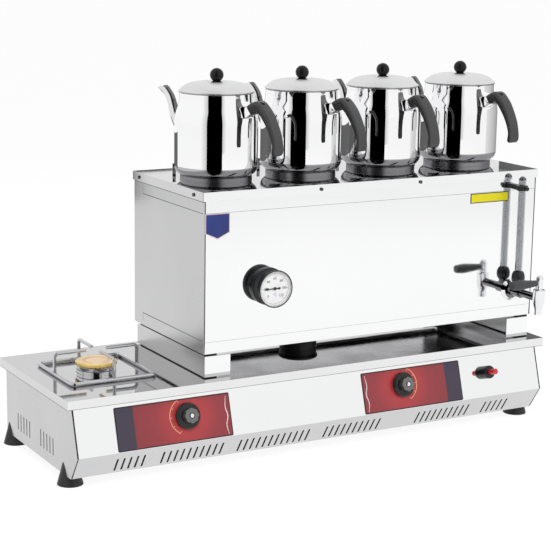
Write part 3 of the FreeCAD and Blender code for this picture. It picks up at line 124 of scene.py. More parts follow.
def newMaterial(name):
    material = bpy.data.materials.new(name)
    material.use_nodes = True
    material.node_tree.nodes.clear()
    return material, material.node_tree


def toOutput(tree, shader, kind="Material"):
    tree.links.new(shader.outputs[0], addNode(tree, "Output" + kind).inputs[0])


# The most of several ray kinds, so that a background shows to the camera, in metal and in glass.
def seenRays(tree):
    path = addNode(tree, "LightPath")
    value = path.outputs["Is Camera Ray"]
    for kind in ("Is Glossy Ray", "Is Transmission Ray"):
        most = addNode(tree, "Math", operation="MAXIMUM")
        join(tree, (value, most.inputs[0]), (path.outputs[kind], most.inputs[1]))
        value = most.outputs[0]
    return value


studio = {"ambient": 0.62, "seen": 1.0, "floorSize": 80, "floorShade": 0.93, "floorGlow": 1.09,
          "shadowShare": 0.22}


def makeStudio(look):
    world = bpy.data.worlds.new("studio")
    scene.world = world
    world.use_nodes = True
    tree = world.node_tree
    tree.nodes.clear()
    strength = addNode(tree, "MapRange", {"To Min": look["ambient"], "To Max": look["seen"]})
    background = addNode(tree, "Background", {"Color": (1, 1, 1, 1)})
    join(tree, (seenRays(tree), strength.inputs["Value"]),
         (strength.outputs[0], background.inputs["Strength"]))
    toOutput(tree, background, "World")

    material, tree = newMaterial("paleFloor")
    shade = look["floorShade"]
    paint = addNode(tree, "BsdfDiffuse", {"Color": (shade, shade, shade, 1)})
    glow = addNode(tree, "Emission", {"Strength": look["floorGlow"]})
    share = addNode(tree, "MapRange", {"To Min": 0, "To Max": 1 - look["shadowShare"]})
    mix = addNode(tree, "MixShader")
    join(tree, (seenRays(tree), share.inputs["Value"]), (share.outputs[0], mix.inputs[0]),
         (paint.outputs[0], mix.inputs[1]), (glow.outputs[0], mix.inputs[2]))
    toOutput(tree, mix)
    half = look["floorSize"] / 2
    floor = bpy.data.meshes.new("floor")
    floor.from_pydata([(-half, -half, 0), (half, -half, 0), (half, half, 0), (-half, half, 0)],
                      [], [(0, 1, 2, 3)])
    floor.materials.append(material)
    placed("floor", floor)


lamps = {
    "keyLamp": {"place": (-1.3, -1.9, 2.3), "size": 1.6, "power": 34},
    "fillLamp": {"place": (2.1, -1.7, 1.7), "size": 1.8, "power": 20},
    "rearLamp": {"place": (0.4, 2.2, 2.4), "size": 1.8, "power": 18},
}
aim = Vector((0, 0, 0.35))


def makeLamps():
    for name, look in lamps.items():
        data = bpy.data.lights.new(name, "AREA")
        data.shape = "DISK"
        data.size = look["size"]
        data.energy = look["power"]
        lamp = placed(name, data)
        lamp.location = look["place"]
        lamp.rotation_euler = (aim - Vector(look["place"])).to_track_quat("-Z", "Y").to_euler()
        lamp.visible_glossy = False


# Cards that only polished metal sees: from, to, foot, head, and the shades it fades between.
cards = {
    "frontFlag": ((-0.87, -0.52), (-0.54, -1.90), 0.0, 4.5, (0.0, 0.0)),
    "flagLeftWing": ((-1.12, -0.35), (-0.87, -0.52), 0.30, 4.5, (1.0, 0.62)),
    "flagRightWing": ((-0.54, -1.90), (-0.16, -2.10), 0.30, 4.5, (0.62, 1.0)),
    "rearCard": ((-0.39, 0.45), (0.66, 0.45), 0.44, 0.595, (0.14, 0.10)),
    "rightCard": ((1.30, -0.60), (1.30, 1.0), 0.24, 0.75, (0.80, 0.12)),
}


def makeCards():
    for name, ((x, y), (farX, farY), foot, head, shades) in cards.items():
        material, tree = newMaterial(name + "Paper")
        glow = addNode(tree, "Emission")
        fade = addNode(tree, "MapRange", dict(zip(("To Min", "To Max"), shades)))
        along = addNode(tree, "SeparateXYZ")
        join(tree, (addNode(tree, "TexCoord").outputs["UV"], along.inputs[0]),
             (along.outputs["X"], fade.inputs["Value"]), (fade.outputs[0], glow.inputs["Color"]))
        toOutput(tree, glow)
        data = bpy.data.meshes.new(name)
        data.from_pydata([(x, y, foot), (farX, farY, foot), (farX, farY, head), (x, y, head)], [],
                         [(0, 1, 2, 3)])
        corners = data.uv_layers.new(name="along").data
        for corner, u in zip(corners, (0, 1, 1, 0)):
            corner.uv = (u, 0)
        data.materials.append(material)
        card = placed(name, data)
        for rays in ("camera", "diffuse", "shadow", "transmission"):
            setattr(card, "visible_" + rays, False)


makeCamera(cameraView)
makeStudio(studio)
makeLamps()
makeCards()
scene.view_settings.view_transform = "Standard"
print("camera and studio ready")


# Surface effects shared by the finishes. All but the last run on a noise of their own.

def newGroup(name, inputs, outputs):
    group = bpy.data.node_groups.new(name, "ShaderNodeTree")
    for label, kind, value in inputs:
        socket = group.interface.new_socket(name=label, in_out="INPUT",
                                            socket_type="NodeSocket" + kind)
        if value is not None:
            socket.default_value = value
    for label, kind in outputs:
        group.interface.new_socket(name=label, in_out="OUTPUT", socket_type="NodeSocket" + kind)
    start, end = group.nodes.new("NodeGroupInput"), group.nodes.new("NodeGroupOutput")
    return group, start.outputs, end.inputs


def noiseGroup(name, scale, values, inputs, outputs):
    group, given, out = newGroup(
        name, [("Vector", "Vector", None), ("Scale", "Float", scale)] + inputs, outputs)
    noise = addNode(group, "TexNoise", values)
    join(group, (given["Vector"], noise.inputs["Vector"]), (given["Scale"], noise.inputs["Scale"]))
    return group, given, out, noise.outputs[0]


# A bump: the slow swell of rolled sheet, or the fine pebbling of moulded plastic and castings.
def makeRelief(name, scale, detail, depth):
    group, given, out, noise = noiseGroup(name, scale, {"Detail": detail}, [
        ("Strength", "Float", 0.1)], [("Normal", "Vector")])
    bump = addNode(group, "Bump", {"Distance": depth})
    join(group, (noise, bump.inputs["Height"]), (given["Strength"], bump.inputs["Strength"]),
         (bump.outputs[0], out["Normal"]))
    return group


# Wiped and handled patches: roughness drifts between two values.
patches = {"grain": {"Detail": 5.0, "Roughness": 0.62}, "from": 0.38, "to": 0.72}


def makeHandledGloss():
    group, given, out, noise = noiseGroup("handledGloss", 12.0, patches["grain"], [
        ("Clean", "Float", 0.05), ("Handled", "Float", 0.12)], [("Roughness", "Float")])
    ramp = addNode(group, "ValToRGB")
    first, last = ramp.color_ramp.elements
    first.position, last.position = patches["from"], patches["to"]
    spread = addNode(group, "MapRange")
    join(group, (noise, ramp.inputs[0]), (ramp.outputs[0], spread.inputs["Value"]),
         (given["Clean"], spread.inputs["To Min"]), (given["Handled"], spread.inputs["To Max"]),
         (spread.outputs[0], out["Roughness"]))
    return group


# Colour drifts between two tones.
def makeToneDrift():
    group, given, out, noise = noiseGroup("toneDrift", 6.0, {"Detail": 3.0}, [
        ("Main", "Color", None), ("Second", "Color", None)], [("Color", "Color")])
    mix = addNode(group, "Mix", data_type="RGBA")
    join(group, (noise, mix.inputs[0]), (given["Main"], mix.inputs[6]),
         (given["Second"], mix.inputs[7]), (mix.outputs[2], out["Color"]))
    return group


# Rubbed edges, lightened as wear and as a painted highlight: where the rounded normal leaves the true
# one.
def makeEdgeRub():
    group, given, out = newGroup("edgeRubAndHighlight", [
        ("Radius", "Float", 0.001), ("Amount", "Float", 1.0)], [("Mask", "Float")])
    eased = addNode(group, "Bevel", samples=4)
    likeness = addNode(group, "VectorMath", operation="DOT_PRODUCT")
    mask = addNode(group, "MapRange", {"From Min": 0.99, "From Max": 0.80})
    scaled = addNode(group, "Math", operation="MULTIPLY")
    join(group, (given["Radius"], eased.inputs["Radius"]), (eased.outputs[0], likeness.inputs[0]),
         (addNode(group, "NewGeometry").outputs["Normal"], likeness.inputs[1]),
         (likeness.outputs["Value"], mask.inputs["Value"]), (mask.outputs[0], scaled.inputs[0]),
         (given["Amount"], scaled.inputs[1]), (scaled.outputs[0], out["Mask"]))
    return group


sheetWander = makeRelief("sheetWander", 4.0, 1.0, 0.01)
mouldGrain = makeRelief("mouldGrain", 900.0, 4.0, 0.0006)
handledGloss = makeHandledGloss()
toneDrift = makeToneDrift()
edgeRubAndHighlight = makeEdgeRub()


def placeGroup(tree, group, **values):
    return addNode(tree, "Group", values, node_tree=group)


# Roughness from the handled patches, and the way out.
def addGloss(tree, shader, clean, handled, scale):
    gloss = placeGroup(tree, handledGloss, Scale=scale, Clean=clean, Handled=handled)
    join(tree, (addNode(tree, "TexCoord").outputs["Object"], gloss.inputs["Vector"]),
         (gloss.outputs["Roughness"], shader.inputs["Roughness"]))
    toOutput(tree, shader)


# A finish: its main and second colour, how fine they drift, and what each effect is given. Keys
# with a capital are the shader's own sockets.
def makeFinish(name, look):
    material, tree = newMaterial(name)
    shader = addNode(tree, "BsdfPrincipled",
                     {key: value for key, value in look.items() if key[0].isupper()})
    where = addNode(tree, "TexCoord").outputs["Object"]
    drift = placeGroup(tree, toneDrift, Scale=look["drift"], Main=(*look["main"], 1),
                       Second=(*look["second"], 1))
    tree.links.new(where, drift.inputs["Vector"])
    colour = drift.outputs["Color"]
    # Lighter edges: rubbed wear, and a painted highlight along them.
    if "rub" in look:
        radius, amount, edgeTone = look["rub"]
        rub = placeGroup(tree, edgeRubAndHighlight, Radius=radius, Amount=amount)
        mix = addNode(tree, "Mix", {7: (*edgeTone, 1)}, data_type="RGBA")
        join(tree, (rub.outputs["Mask"], mix.inputs[0]), (colour, mix.inputs[6]))
        colour = mix.outputs[2]
    tree.links.new(colour, shader.inputs["Base Color"])
    for key, group in (("wander", sheetWander), ("grain", mouldGrain)):
        if key in look:
            scale, strength = look[key]
            relief = placeGroup(tree, group, Scale=scale, Strength=strength)
            join(tree, (where, relief.inputs["Vector"]),
                 (relief.outputs["Normal"], shader.inputs["Normal"]))
    addGloss(tree, shader, *look["gloss"])
    return material


finishLooks = {
    "polishedSheet": {"main": (0.9, 0.9, 0.905), "second": (0.86, 0.865, 0.87), "drift": 3,
        "gloss": (0.03, 0.09, 9), "wander": (3.2, 0.05), "Metallic": 1.0},
    # The side, skirt, rim and top sheets are darker copies of the polished sheet: painted shade for the
    # way their faces look, with a rougher polish besides.
    "sideSheet": {"main": (0.58, 0.58, 0.582), "second": (0.52, 0.52, 0.525), "drift": 4,
        "gloss": (0.2, 0.3, 7), "wander": (4, 0.05), "Metallic": 1.0},
    "skirtSheet": {"main": (0.66, 0.66, 0.665), "second": (0.6, 0.6, 0.61), "drift": 4,
        "gloss": (0.12, 0.22, 7), "wander": (4, 0.05), "Metallic": 1.0},
    "rimSheet": {"main": (0.74, 0.74, 0.745), "second": (0.82, 0.82, 0.825), "drift": 5,
        "gloss": (0.06, 0.14, 7), "wander": (4, 0.05), "Metallic": 1.0},
    "topSheet": {"main": (0.55, 0.55, 0.555), "second": (0.5, 0.5, 0.51), "drift": 3,
        "gloss": (0.03, 0.08, 9), "wander": (3.2, 0.05), "Metallic": 1.0},
    "seamShade": {"main": (0.16, 0.16, 0.165), "second": (0.1, 0.1, 0.105), "drift": 20,
        "gloss": (0.4, 0.6, 20), "Specular IOR Level": 0.2},
    # Painted shade on the pots: the underside of the belly's flare.
    "potUndersidePaintedShade": {"main": (0.5, 0.5, 0.51), "second": (0.42, 0.42, 0.43), "drift": 12,
        "gloss": (0.06, 0.14, 20), "Metallic": 1.0},
    # Near-black iron: painted shade on the burner under the boiler and behind the casing's end slots.
    "ironPaintedShade": {"main": (0.045, 0.045, 0.045), "second": (0.02, 0.02, 0.02), "drift": 30,
        "gloss": (0.4, 0.6, 20), "grain": (500, 0.1), "Metallic": 0.3},
    "spoutSteel": {"main": (0.8, 0.8, 0.81), "second": (0.7, 0.7, 0.71), "drift": 30,
        "gloss": (0.08, 0.16, 20), "wander": (9, 0.03), "Metallic": 1.0},
    # Grey band inside the dial's front rim: painted shade, the rim's shadow on the face.
    "dialLinerPaintedShade": {"main": (0.54, 0.54, 0.55), "second": (0.46, 0.46, 0.47), "drift": 60,
        "gloss": (0.35, 0.45, 50)},
    # The handle's side facets, darker than its face: painted shade.
    "handleSidePaintedShade": {"main": (0.01, 0.01, 0.011), "second": (0.016, 0.016, 0.017), "drift": 14,
        "gloss": (0.34, 0.5, 30), "grain": (1100, 0.1), "Specular IOR Level": 0.4},
    # The burner cap's top face, lighter than its sides: painted light, with a rougher, less metallic
    # polish besides.
    "capTop": {"main": (0.92, 0.72, 0.44), "second": (0.9, 0.66, 0.38), "drift": 30,
        "gloss": (0.3, 0.4, 30), "Metallic": 0.1},
    "capHeat": {"main": (0.84, 0.44, 0.22), "second": (0.88, 0.56, 0.34), "drift": 60,
        "gloss": (0.3, 0.4, 30), "Metallic": 0.1},
    # Chrome darkened to near black: painted shade and reflection on the spout's side toward the pot, in
    # the tap's dish and on the tubes' caps.
    "chromePaintedShade": {"main": (0.22, 0.22, 0.225), "second": (0.12, 0.12, 0.125), "drift": 40,
        "gloss": (0.06, 0.14, 40), "Metallic": 1.0},
    "potSteel": {"main": (0.95, 0.95, 0.955), "second": (0.91, 0.91, 0.92), "drift": 5,
        "gloss": (0.015, 0.05, 14), "wander": (9, 0.03), "Metallic": 1.0},
    # Painted shade on the pots: the base band, the rim bead under the lid and the seat rings.
    "potPaintedShade": {"main": (0.34, 0.34, 0.35), "second": (0.24, 0.24, 0.25), "drift": 12,
        "gloss": (0.24, 0.34, 20), "Metallic": 1.0},
    "lidSteel": {"main": (0.78, 0.78, 0.785), "second": (0.74, 0.74, 0.745), "drift": 6,
        "gloss": (0.42, 0.5, 12), "wander": (9, 0.03), "Metallic": 1.0},
    "plainSheet": {"main": (0.72, 0.72, 0.73), "second": (0.6, 0.6, 0.61), "drift": 5,
        "gloss": (0.22, 0.38, 9), "wander": (5, 0.06), "Metallic": 1.0},
    "chromePlate": {"main": (0.86, 0.86, 0.87), "second": (0.78, 0.79, 0.81), "drift": 20,
        "gloss": (0.03, 0.1, 30), "wander": (40, 0.03), "Metallic": 1.0},
    "brightRod": {"main": (0.62, 0.62, 0.63), "second": (0.46, 0.46, 0.48), "drift": 30,
        "gloss": (0.08, 0.18, 40), "Metallic": 1.0},
    "screwSteel": {"main": (0.12, 0.12, 0.125), "second": (0.07, 0.07, 0.075), "drift": 60,
        "gloss": (0.15, 0.25, 60), "Metallic": 1.0},
    "castAlloy": {"main": (0.8, 0.8, 0.81), "second": (0.68, 0.68, 0.69), "drift": 18,
        "gloss": (0.05, 0.14, 20), "grain": (500, 0.02), "Metallic": 1.0},
    "capBrass": {"main": (0.86, 0.64, 0.22), "second": (0.8, 0.56, 0.16), "drift": 30,
        "gloss": (0.24, 0.36, 26), "grain": (700, 0.05), "Metallic": 0.2},
    "valveBrass": {"main": (0.72, 0.55, 0.28), "second": (0.55, 0.4, 0.19), "drift": 30,
        "gloss": (0.28, 0.42, 30), "Metallic": 1.0},
    "footRubber": {"main": (0.012, 0.012, 0.013), "second": (0.02, 0.02, 0.021), "drift": 30,
        "gloss": (0.42, 0.62, 20), "grain": (800, 0.18), "rub": (0.0015, 0.4, (0.05, 0.05, 0.052)),
        "Specular IOR Level": 0.4},
    "sealRubber": {"main": (0.01, 0.01, 0.011), "second": (0.018, 0.018, 0.019), "drift": 30,
        "gloss": (0.4, 0.6, 30), "grain": (900, 0.1), "Specular IOR Level": 0.3},
    "knobPlastic": {"main": (0.012, 0.013, 0.014), "second": (0.02, 0.021, 0.023), "drift": 40,
        "gloss": (0.3, 0.45, 40), "grain": (900, 0.08), "rub": (0.0008, 0.35, (0.07, 0.07, 0.075)),
        "Specular IOR Level": 0.4},
    "glossBlack": {"main": (0.008, 0.008, 0.009), "second": (0.014, 0.014, 0.015), "drift": 40,
        "gloss": (0.14, 0.22, 40), "Specular IOR Level": 0.4},
    # The grip's top face, lighter than its sides: painted light.
    "gripTopPaintedLight": {"main": (0.12, 0.12, 0.122), "second": (0.16, 0.16, 0.162), "drift": 60,
        "gloss": (0.35, 0.5, 40), "grain": (900, 0.12), "Specular IOR Level": 0.4},
    "gripPlastic": {"main": (0.035, 0.036, 0.038), "second": (0.055, 0.056, 0.058), "drift": 40,
        "gloss": (0.38, 0.52, 40), "grain": (900, 0.12), "rub": (0.0008, 0.3, (0.12, 0.12, 0.125)),
        "Specular IOR Level": 0.4},
    "handlePlastic": {"main": (0.03, 0.03, 0.031), "second": (0.048, 0.048, 0.05), "drift": 14,
        "gloss": (0.36, 0.52, 30), "grain": (1100, 0.1), "rub": (0.0008, 0.25, (0.1, 0.1, 0.1)),
        "Specular IOR Level": 0.45},
    "ballPlastic": {"main": (0.006, 0.006, 0.006), "second": (0.01, 0.01, 0.01), "drift": 50,
        "gloss": (0.1, 0.2, 40), "Specular IOR Level": 0.22},
    "buttonRed": {"main": (0.5, 0.012, 0.03), "second": (0.62, 0.02, 0.04), "drift": 60,
        "gloss": (0.1, 0.2, 60), "Coat Weight": 0.4},
    "ceramic": {"main": (0.86, 0.84, 0.78), "second": (0.78, 0.75, 0.68), "drift": 80,
        "gloss": (0.15, 0.3, 60)},
    "cableSleeve": {"main": (0.05, 0.05, 0.05), "second": (0.08, 0.08, 0.08), "drift": 60,
        "gloss": (0.45, 0.6, 60), "grain": (700, 0.15)},
    "woolBoard": {"main": (0.045, 0.043, 0.04), "second": (0.015, 0.014, 0.013), "drift": 40,
        "gloss": (0.8, 0.95, 30), "grain": (250, 0.8), "Specular IOR Level": 0.1},
    "dialPaint": {"main": (0.78, 0.78, 0.775), "second": (0.72, 0.72, 0.72), "drift": 60,
        "gloss": (0.35, 0.45, 50)},
    "dialInk": {"main": (0.02, 0.02, 0.022), "second": (0.04, 0.04, 0.042), "drift": 90,
        "gloss": (0.4, 0.5, 60)},
    "dialBlue": {"main": (0.08, 0.1, 0.5), "second": (0.12, 0.14, 0.55), "drift": 90,
        "gloss": (0.4, 0.5, 60)},
    "plateBorder": {"main": (0.014, 0.01, 0.011), "second": (0.03, 0.018, 0.02), "drift": 60,
        "gloss": (0.3, 0.42, 30), "Specular IOR Level": 0.3},
    "plateSlate": {"main": (0.05, 0.048, 0.085), "second": (0.065, 0.045, 0.06), "drift": 22,
        "gloss": (0.28, 0.4, 30), "Specular IOR Level": 0.3},
    "plateOrange": {"main": (0.9, 0.42, 0.2), "second": (0.85, 0.5, 0.3), "drift": 80,
        "gloss": (0.3, 0.4, 30)},
    "platePale": {"main": (0.62, 0.5, 0.52), "second": (0.75, 0.68, 0.68), "drift": 60,
        "gloss": (0.3, 0.4, 30)},
    "badgeBlue": {"main": (0.022, 0.045, 0.23), "second": (0.03, 0.035, 0.11), "drift": 26,
        "gloss": (0.2, 0.3, 30), "Specular IOR Level": 0.25},
    "badgeBorder": {"main": (0.62, 0.45, 0.44), "second": (0.7, 0.55, 0.53), "drift": 60,
        "gloss": (0.25, 0.4, 40)},
    "stripYellow": {"main": (0.68, 0.6, 0.01), "second": (0.74, 0.66, 0.02), "drift": 40,
        "gloss": (0.3, 0.4, 30), "Specular IOR Level": 0.2},
    "stripBorder": {"main": (0.03, 0.03, 0.03), "second": (0.05, 0.05, 0.05), "drift": 60,
        "gloss": (0.3, 0.4, 30)},
}
finishes = {name: makeFinish(name, look) for name, look in finishLooks.items()}


# Printed red: brightest beside the knob, dusky further away. The mesh's UV is centred on the knob.
plateRed = {"stops": ((0.0, (0.66, 0.05, 0.05)), (0.24, (0.42, 0.042, 0.048)),
                      (0.45, (0.28, 0.034, 0.042)), (1.0, (0.20, 0.030, 0.036))),
            "gloss": (0.3, 0.42, 30.0)}


def makePlateRed(look):
    material, tree = newMaterial("plateRed")
    shader = addNode(tree, "BsdfPrincipled")
    spread = addNode(tree, "VectorMath", operation="LENGTH")
    ramp = addNode(tree, "ValToRGB")
    first, last = ramp.color_ramp.elements
    first.position, last.position = look["stops"][0][0], look["stops"][-1][0]
    first.color, last.color = (*look["stops"][0][1], 1), (*look["stops"][-1][1], 1)
    for place, colour in look["stops"][1:-1]:
        ramp.color_ramp.elements.new(place).color = (*colour, 1)
    join(tree, (addNode(tree, "TexCoord").outputs["UV"], spread.inputs[0]),
         (spread.outputs["Value"], ramp.inputs[0]), (ramp.outputs[0], shader.inputs["Base Color"]))
    addGloss(tree, shader, *look["gloss"])
    return material


glassLooks = {
    "clearPane": {"tint": (1.0, 1.0, 1.0), "ior": 1.02, "gloss": (0.0, 0.03, 40.0)},
    "gaugeTube": {"tint": (0.55, 0.56, 0.57), "ior": 1.5, "gloss": (0.0, 0.05, 40.0)},
}


def makeGlass(name, look):
    material, tree = newMaterial(name)
    shader = addNode(tree, "BsdfPrincipled", {
        "Base Color": (*look["tint"], 1), "Metallic": 0, "Transmission Weight": 1, "IOR": look["ior"]})
    addGloss(tree, shader, *look["gloss"])
    return material


finishes["plateRed"] = makePlateRed(plateRed)
for name, look in glassLooks.items():
    finishes[name] = makeGlass(name, look)
print("finishes ready,", len(finishes))


# Mesh helpers. A mesh is a pair, its points and its faces. Profiles and outlines are in millimetres.

def dressed(name, data, body, finish, crease=35):
    shape = bmesh.new()
    shape.from_mesh(data)
    bmesh.ops.recalc_face_normals(shape, faces=shape.faces)
    for edge in shape.edges:
        edge.smooth = not (edge.is_manifold and edge.calc_face_angle(0) > math.radians(crease))
    for face in shape.faces:
        face.smooth = True
    shape.to_mesh(data)
    shape.free()
    data.materials.clear()
    data.materials.append(finishes[finish])
    item = placed(name, data)
    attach(item, body)
    return item


def meshPiece(name, mesh, body, finish, crease=35):
    points, faces = mesh
    data = bpy.data.meshes.new(name)
    data.from_pydata([tuple(point) for point in points], [], faces)
    return dressed(name, data, body, finish, crease)


# Adds a second mesh to the first.
def addMesh(mesh, more):
    points, faces = mesh
    faces += [tuple(index + len(points) for index in face) for face in more[1]]
    points += more[0]


# Gives another finish to the faces that pass a test.
def repaint(item, finish, test):
    item.data.materials.append(finishes[finish])
    for face in item.data.polygons:
        if test(face):
            face.material_index = len(item.data.materials) - 1


def faceFinish(item, finish, way, spread=0.93):
    way = Vector(way).normalized()
    repaint(item, finish, lambda face: face.normal.dot(way) > spread)


# Corners given with a radius are rounded, over no more than half of either side.
def eased(corners, closed=False, steps=5):
    out = []
    count = len(corners)
    for index, corner in enumerate(corners):
        around = (corner, corners[index - 1], corners[(index + 1) % count])
        here, before, after = (Vector((x, y, 0)) for x, y, *_ in around)
        radius = corner[2] if len(corner) > 2 else 0
        if not radius or not closed and index in (0, count - 1):
            out.append((here.x, here.y))
            continue
        back, ahead = before - here, after - here
        half = back.angle(ahead) / 2
        reach = min(radius / math.tan(half), 0.49 * back.length, 0.49 * ahead.length)
        radius = reach * math.tan(half)
        back.normalize()
        ahead.normalize()
        centre = here + (back + ahead).normalized() * radius / math.sin(half)
        start, end = (here + way * reach - centre for way in (back, ahead))
        for step in range(steps + 1):
            spoke = centre + start.slerp(end, step / steps) * radius
            out.append((spoke.x, spoke.y))
    return out


# An arc from one profile point to the next; a positive radius bulges to the left of the way.
def arcTo(start, end, radius, steps=8):
    first, last = Vector(start), Vector(end)
    chord = last - first
    side = Vector((-chord.y, chord.x)).normalized() * math.copysign(1, radius)
    drop = math.sqrt(max(radius ** 2 - (chord.length / 2) ** 2, 0))
    centre = (first + last) / 2 - side * drop
    out = []
    for step in range(1, steps + 1):
        spoke = (first - centre).lerp(last - centre, step / steps).normalized() * abs(radius)
        out.append(tuple(centre + spoke))
    return out


# The four corners of an upright band: how far in and out it reaches, and its foot and head.
def band(inner, outer, low, high):
    return [(inner, low), (outer, low), (outer, high), (inner, high)]


# Turns a profile of (radius, height) points about the axis of place.
def latheMesh(profile, place, steps):
    points, faces, rings = [], [], []
    for radius, height in profile:
        if abs(radius) < 1e-6:
            rings.append([len(points)])
            points.append(pointAt(place, 0, 0, height))
            continue
        rings.append(list(range(len(points), len(points) + steps)))
        for step in range(steps):
            angle = 2 * math.pi * step / steps
            points.append(pointAt(place, radius * math.cos(angle), radius * math.sin(angle), height))
    for low, high in zip(rings, rings[1:] + rings[:1]):
        if len(low) == 1 and len(high) == 1:
            continue
        for step in range(steps):
            after = (step + 1) % steps
            if len(low) == 1:
                faces.append((low[0], high[after], high[step]))
            elif len(high) == 1:
                faces.append((low[step], low[after], high[0]))
            else:
                faces.append((low[step], low[after], high[after], high[step]))
    return points, faces


def lathe(name, profile, place, body, finish, steps=72, crease=35):
    return meshPiece(name, latheMesh(profile, place, steps), body, finish, crease)


# Joins rings of equal length one after another and closes both ends.
def loftMesh(rings):
    count = len(rings[0])
    points = [point for ring in rings for point in ring]
    faces = []
    for row in range(len(rings) - 1):
        for step in range(count):
            after = (step + 1) % count
            faces.append((row * count + step, row * count + after,
                          (row + 1) * count + after, (row + 1) * count + step))
    faces.append(tuple(reversed(range(count))))
    faces.append(tuple(range(len(points) - count, len(points))))
    return points, faces


# Smooth values between stations, each a tuple of numbers.
def smoothed(stations, steps=6):
    out = []
    for index in range(len(stations) - 1):
        near = (max(index - 1, 0), index, index + 1, min(index + 2, len(stations) - 1))
        for step in range(steps):
            t = step / steps
            out.append(tuple(
                0.5 * (2 * q + (r - p) * t + (2 * p - 5 * q + 4 * r - s) * t ** 2
                       + (3 * q - p - 3 * r + s) * t ** 3)
                for p, q, r, s in zip(*(stations[place] for place in near))))
    out.append(stations[-1])
    return out


# Eased edges: those with a weight or a bend of more than so many degrees. Carried-over parts are
# welded and their flat faces joined first, and their short or nearly flat edges stay as they are.
easing = {"segments": 2, "bend": 30, "weld": 1e-6, "flat": 0.5, "shortest": 4.0, "sharp": 28,
          "crease": 30}


def softenEdges(item, width, limit="ANGLE"):
    bevel = item.modifiers.new("softEdges", "BEVEL")
    bevel.width = width * mm
    bevel.segments = easing["segments"]
    bevel.limit_method = limit
    bevel.angle_limit = math.radians(easing["bend"])
    bevel.harden_normals = True
    bevel.use_clamp_overlap = limit == "ANGLE"


# A flat outline on a plane, raised between two levels.
def raised(name, outline, levels, place, body, finish, bevel=0.0):
    rings = [[pointAt(place, x, y, level) for x, y in outline] for level in levels]
    item = meshPiece(name, loftMesh(rings), body, finish)
    if bevel:
        softenEdges(item, bevel)
    return item


# The body a CAD node rides on, and its box in millimetres.
def bodyOf(node):
    return nodes[node]["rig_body"]


def boxOf(node):
    low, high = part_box(node)
    return low / mm, high / mm


# A CAD node with its sharp edges eased.
def softened(node, finish, slot, width):
    shape = bmesh.new()
    shape.from_mesh(nodes[node].data)
    bmesh.ops.remove_doubles(shape, verts=shape.verts, dist=easing["weld"])
    bmesh.ops.dissolve_limit(shape, angle_limit=math.radians(easing["flat"]), verts=shape.verts,
                             edges=shape.edges)
    points = [tuple(vert.co) for vert in shape.verts]
    shape.verts.index_update()
    faces = [tuple(vert.index for vert in face.verts) for face in shape.faces]
    shape.free()
    item = meshPiece(node + "Dressed", (points, faces), bodyOf(node), finish, easing["crease"])
    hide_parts(node)
    if not width:
        return item
    shape = bmesh.new()
    shape.from_mesh(item.data)
    weights = shape.edges.layers.float.new("bevel_weight_edge")
    for edge in shape.edges:
        long = edge.calc_length() > easing["shortest"] * mm
        sharp = edge.is_manifold and edge.calc_face_angle(0) > math.radians(easing["sharp"])
        edge[weights] = 1.0 if long and sharp else 0.0
    shape.to_mesh(item.data)
    shape.free()
    softenEdges(item, width, "WEIGHT")
    return item


# Plain carried-over parts: finish, slot, and how far their edges are eased.
plainParts = {
    "stove_tray": ("polishedSheet", "polished_steel", 0.5),
    "stove_front_panel": ("polishedSheet", "polished_steel", 0.4),
    # The side panels take a darker copy of the polished sheet: painted shade.
    "stove_side_panels": ("sideSheet", "polished_steel", 0.4),
    "stove_back_panel": ("polishedSheet", "polished_steel", 0.4),
    "stove_base_plate": ("plainSheet", "steel_sheet", 0.3),
    "stove_feet": ("footRubber", "feet_rubber", 1.2),
    "gas_manifold": ("brightRod", "steel_sheet", 0.4),
    "gas_valve_bodies": ("valveBrass", "valve_brass", 0.5),
    "valve_plug_left": ("valveBrass", "valve_brass", 0.3),
    "valve_plug_right": ("valveBrass", "valve_brass", 0.3),
    "burner_feed_pipes": ("brightRod", "steel_sheet", 0),
    "burner_bodies": ("castAlloy", "burner_iron", 0.8),
    "burner_cap_left": ("capBrass", "burner_brass", 0.5),
    # The right burner sits under the boiler: its near-black cap is painted shade.
    "burner_cap_right": ("ironPaintedShade", "burner_brass", 0.5),
    "pan_support": ("brightRod", "support_wire", 0),
    "spark_electrodes": ("ceramic", "ceramic_white", 0.3),
    "ignition_leads": ("cableSleeve", "lead_cable", 0),
    "igniter_body": ("glossBlack", "black_knob", 0.8),
    "igniter_button": ("buttonRed", "red_button", 0.6),
    "stand_sides": ("polishedSheet", "polished_steel", 0.4),
    "stand_gaskets": ("sealRubber", "gasket_rubber", 0.4),
    "boiler_front_panel": ("polishedSheet", "polished_steel", 0.4),
    "boiler_back_panel": ("polishedSheet", "polished_steel", 0.4),
    # The side panels take a darker copy of the polished sheet: painted shade.
    "boiler_side_panels": ("sideSheet", "polished_steel", 0.4),
    "boiler_top_cover": ("polishedSheet", "polished_steel", 0.5),
    "boiler_tank": ("plainSheet", "steel_sheet", 0.5),
    "boiler_insulation": ("woolBoard", "mineral_wool", 0),
    "cover_screws": ("screwSteel", "chrome_trim", 0.4),
    # The seat rings are darkened: painted shade.
    "pot_seat_rings": ("potPaintedShade", "polished_steel", 0.3),
    "pot_stops": ("potSteel", "polished_steel", 0.4),
    "thermometer_glass": ("clearPane", "dial_glass", 0),
    "tap_shank": ("chromePlate", "chrome_trim", 0.5),
    "tap_body": ("chromePlate", "chrome_trim", 0.5),
    "tap_lever": ("gripPlastic", "black_handle", 0.5),
    "sight_glass_tube": ("gaugeTube", "tube_glass", 0),
    "sight_glass_fittings": ("knobPlastic", "black_knob", 0.6),
}

ways = {"left": (-1, 0, 0), "right": (1, 0, 0), "front": (0, -1, 0), "back": (0, 1, 0),
        "up": (0, 0, 1), "down": (0, 0, -1), "underFront": (0, -0.8, -0.6)}

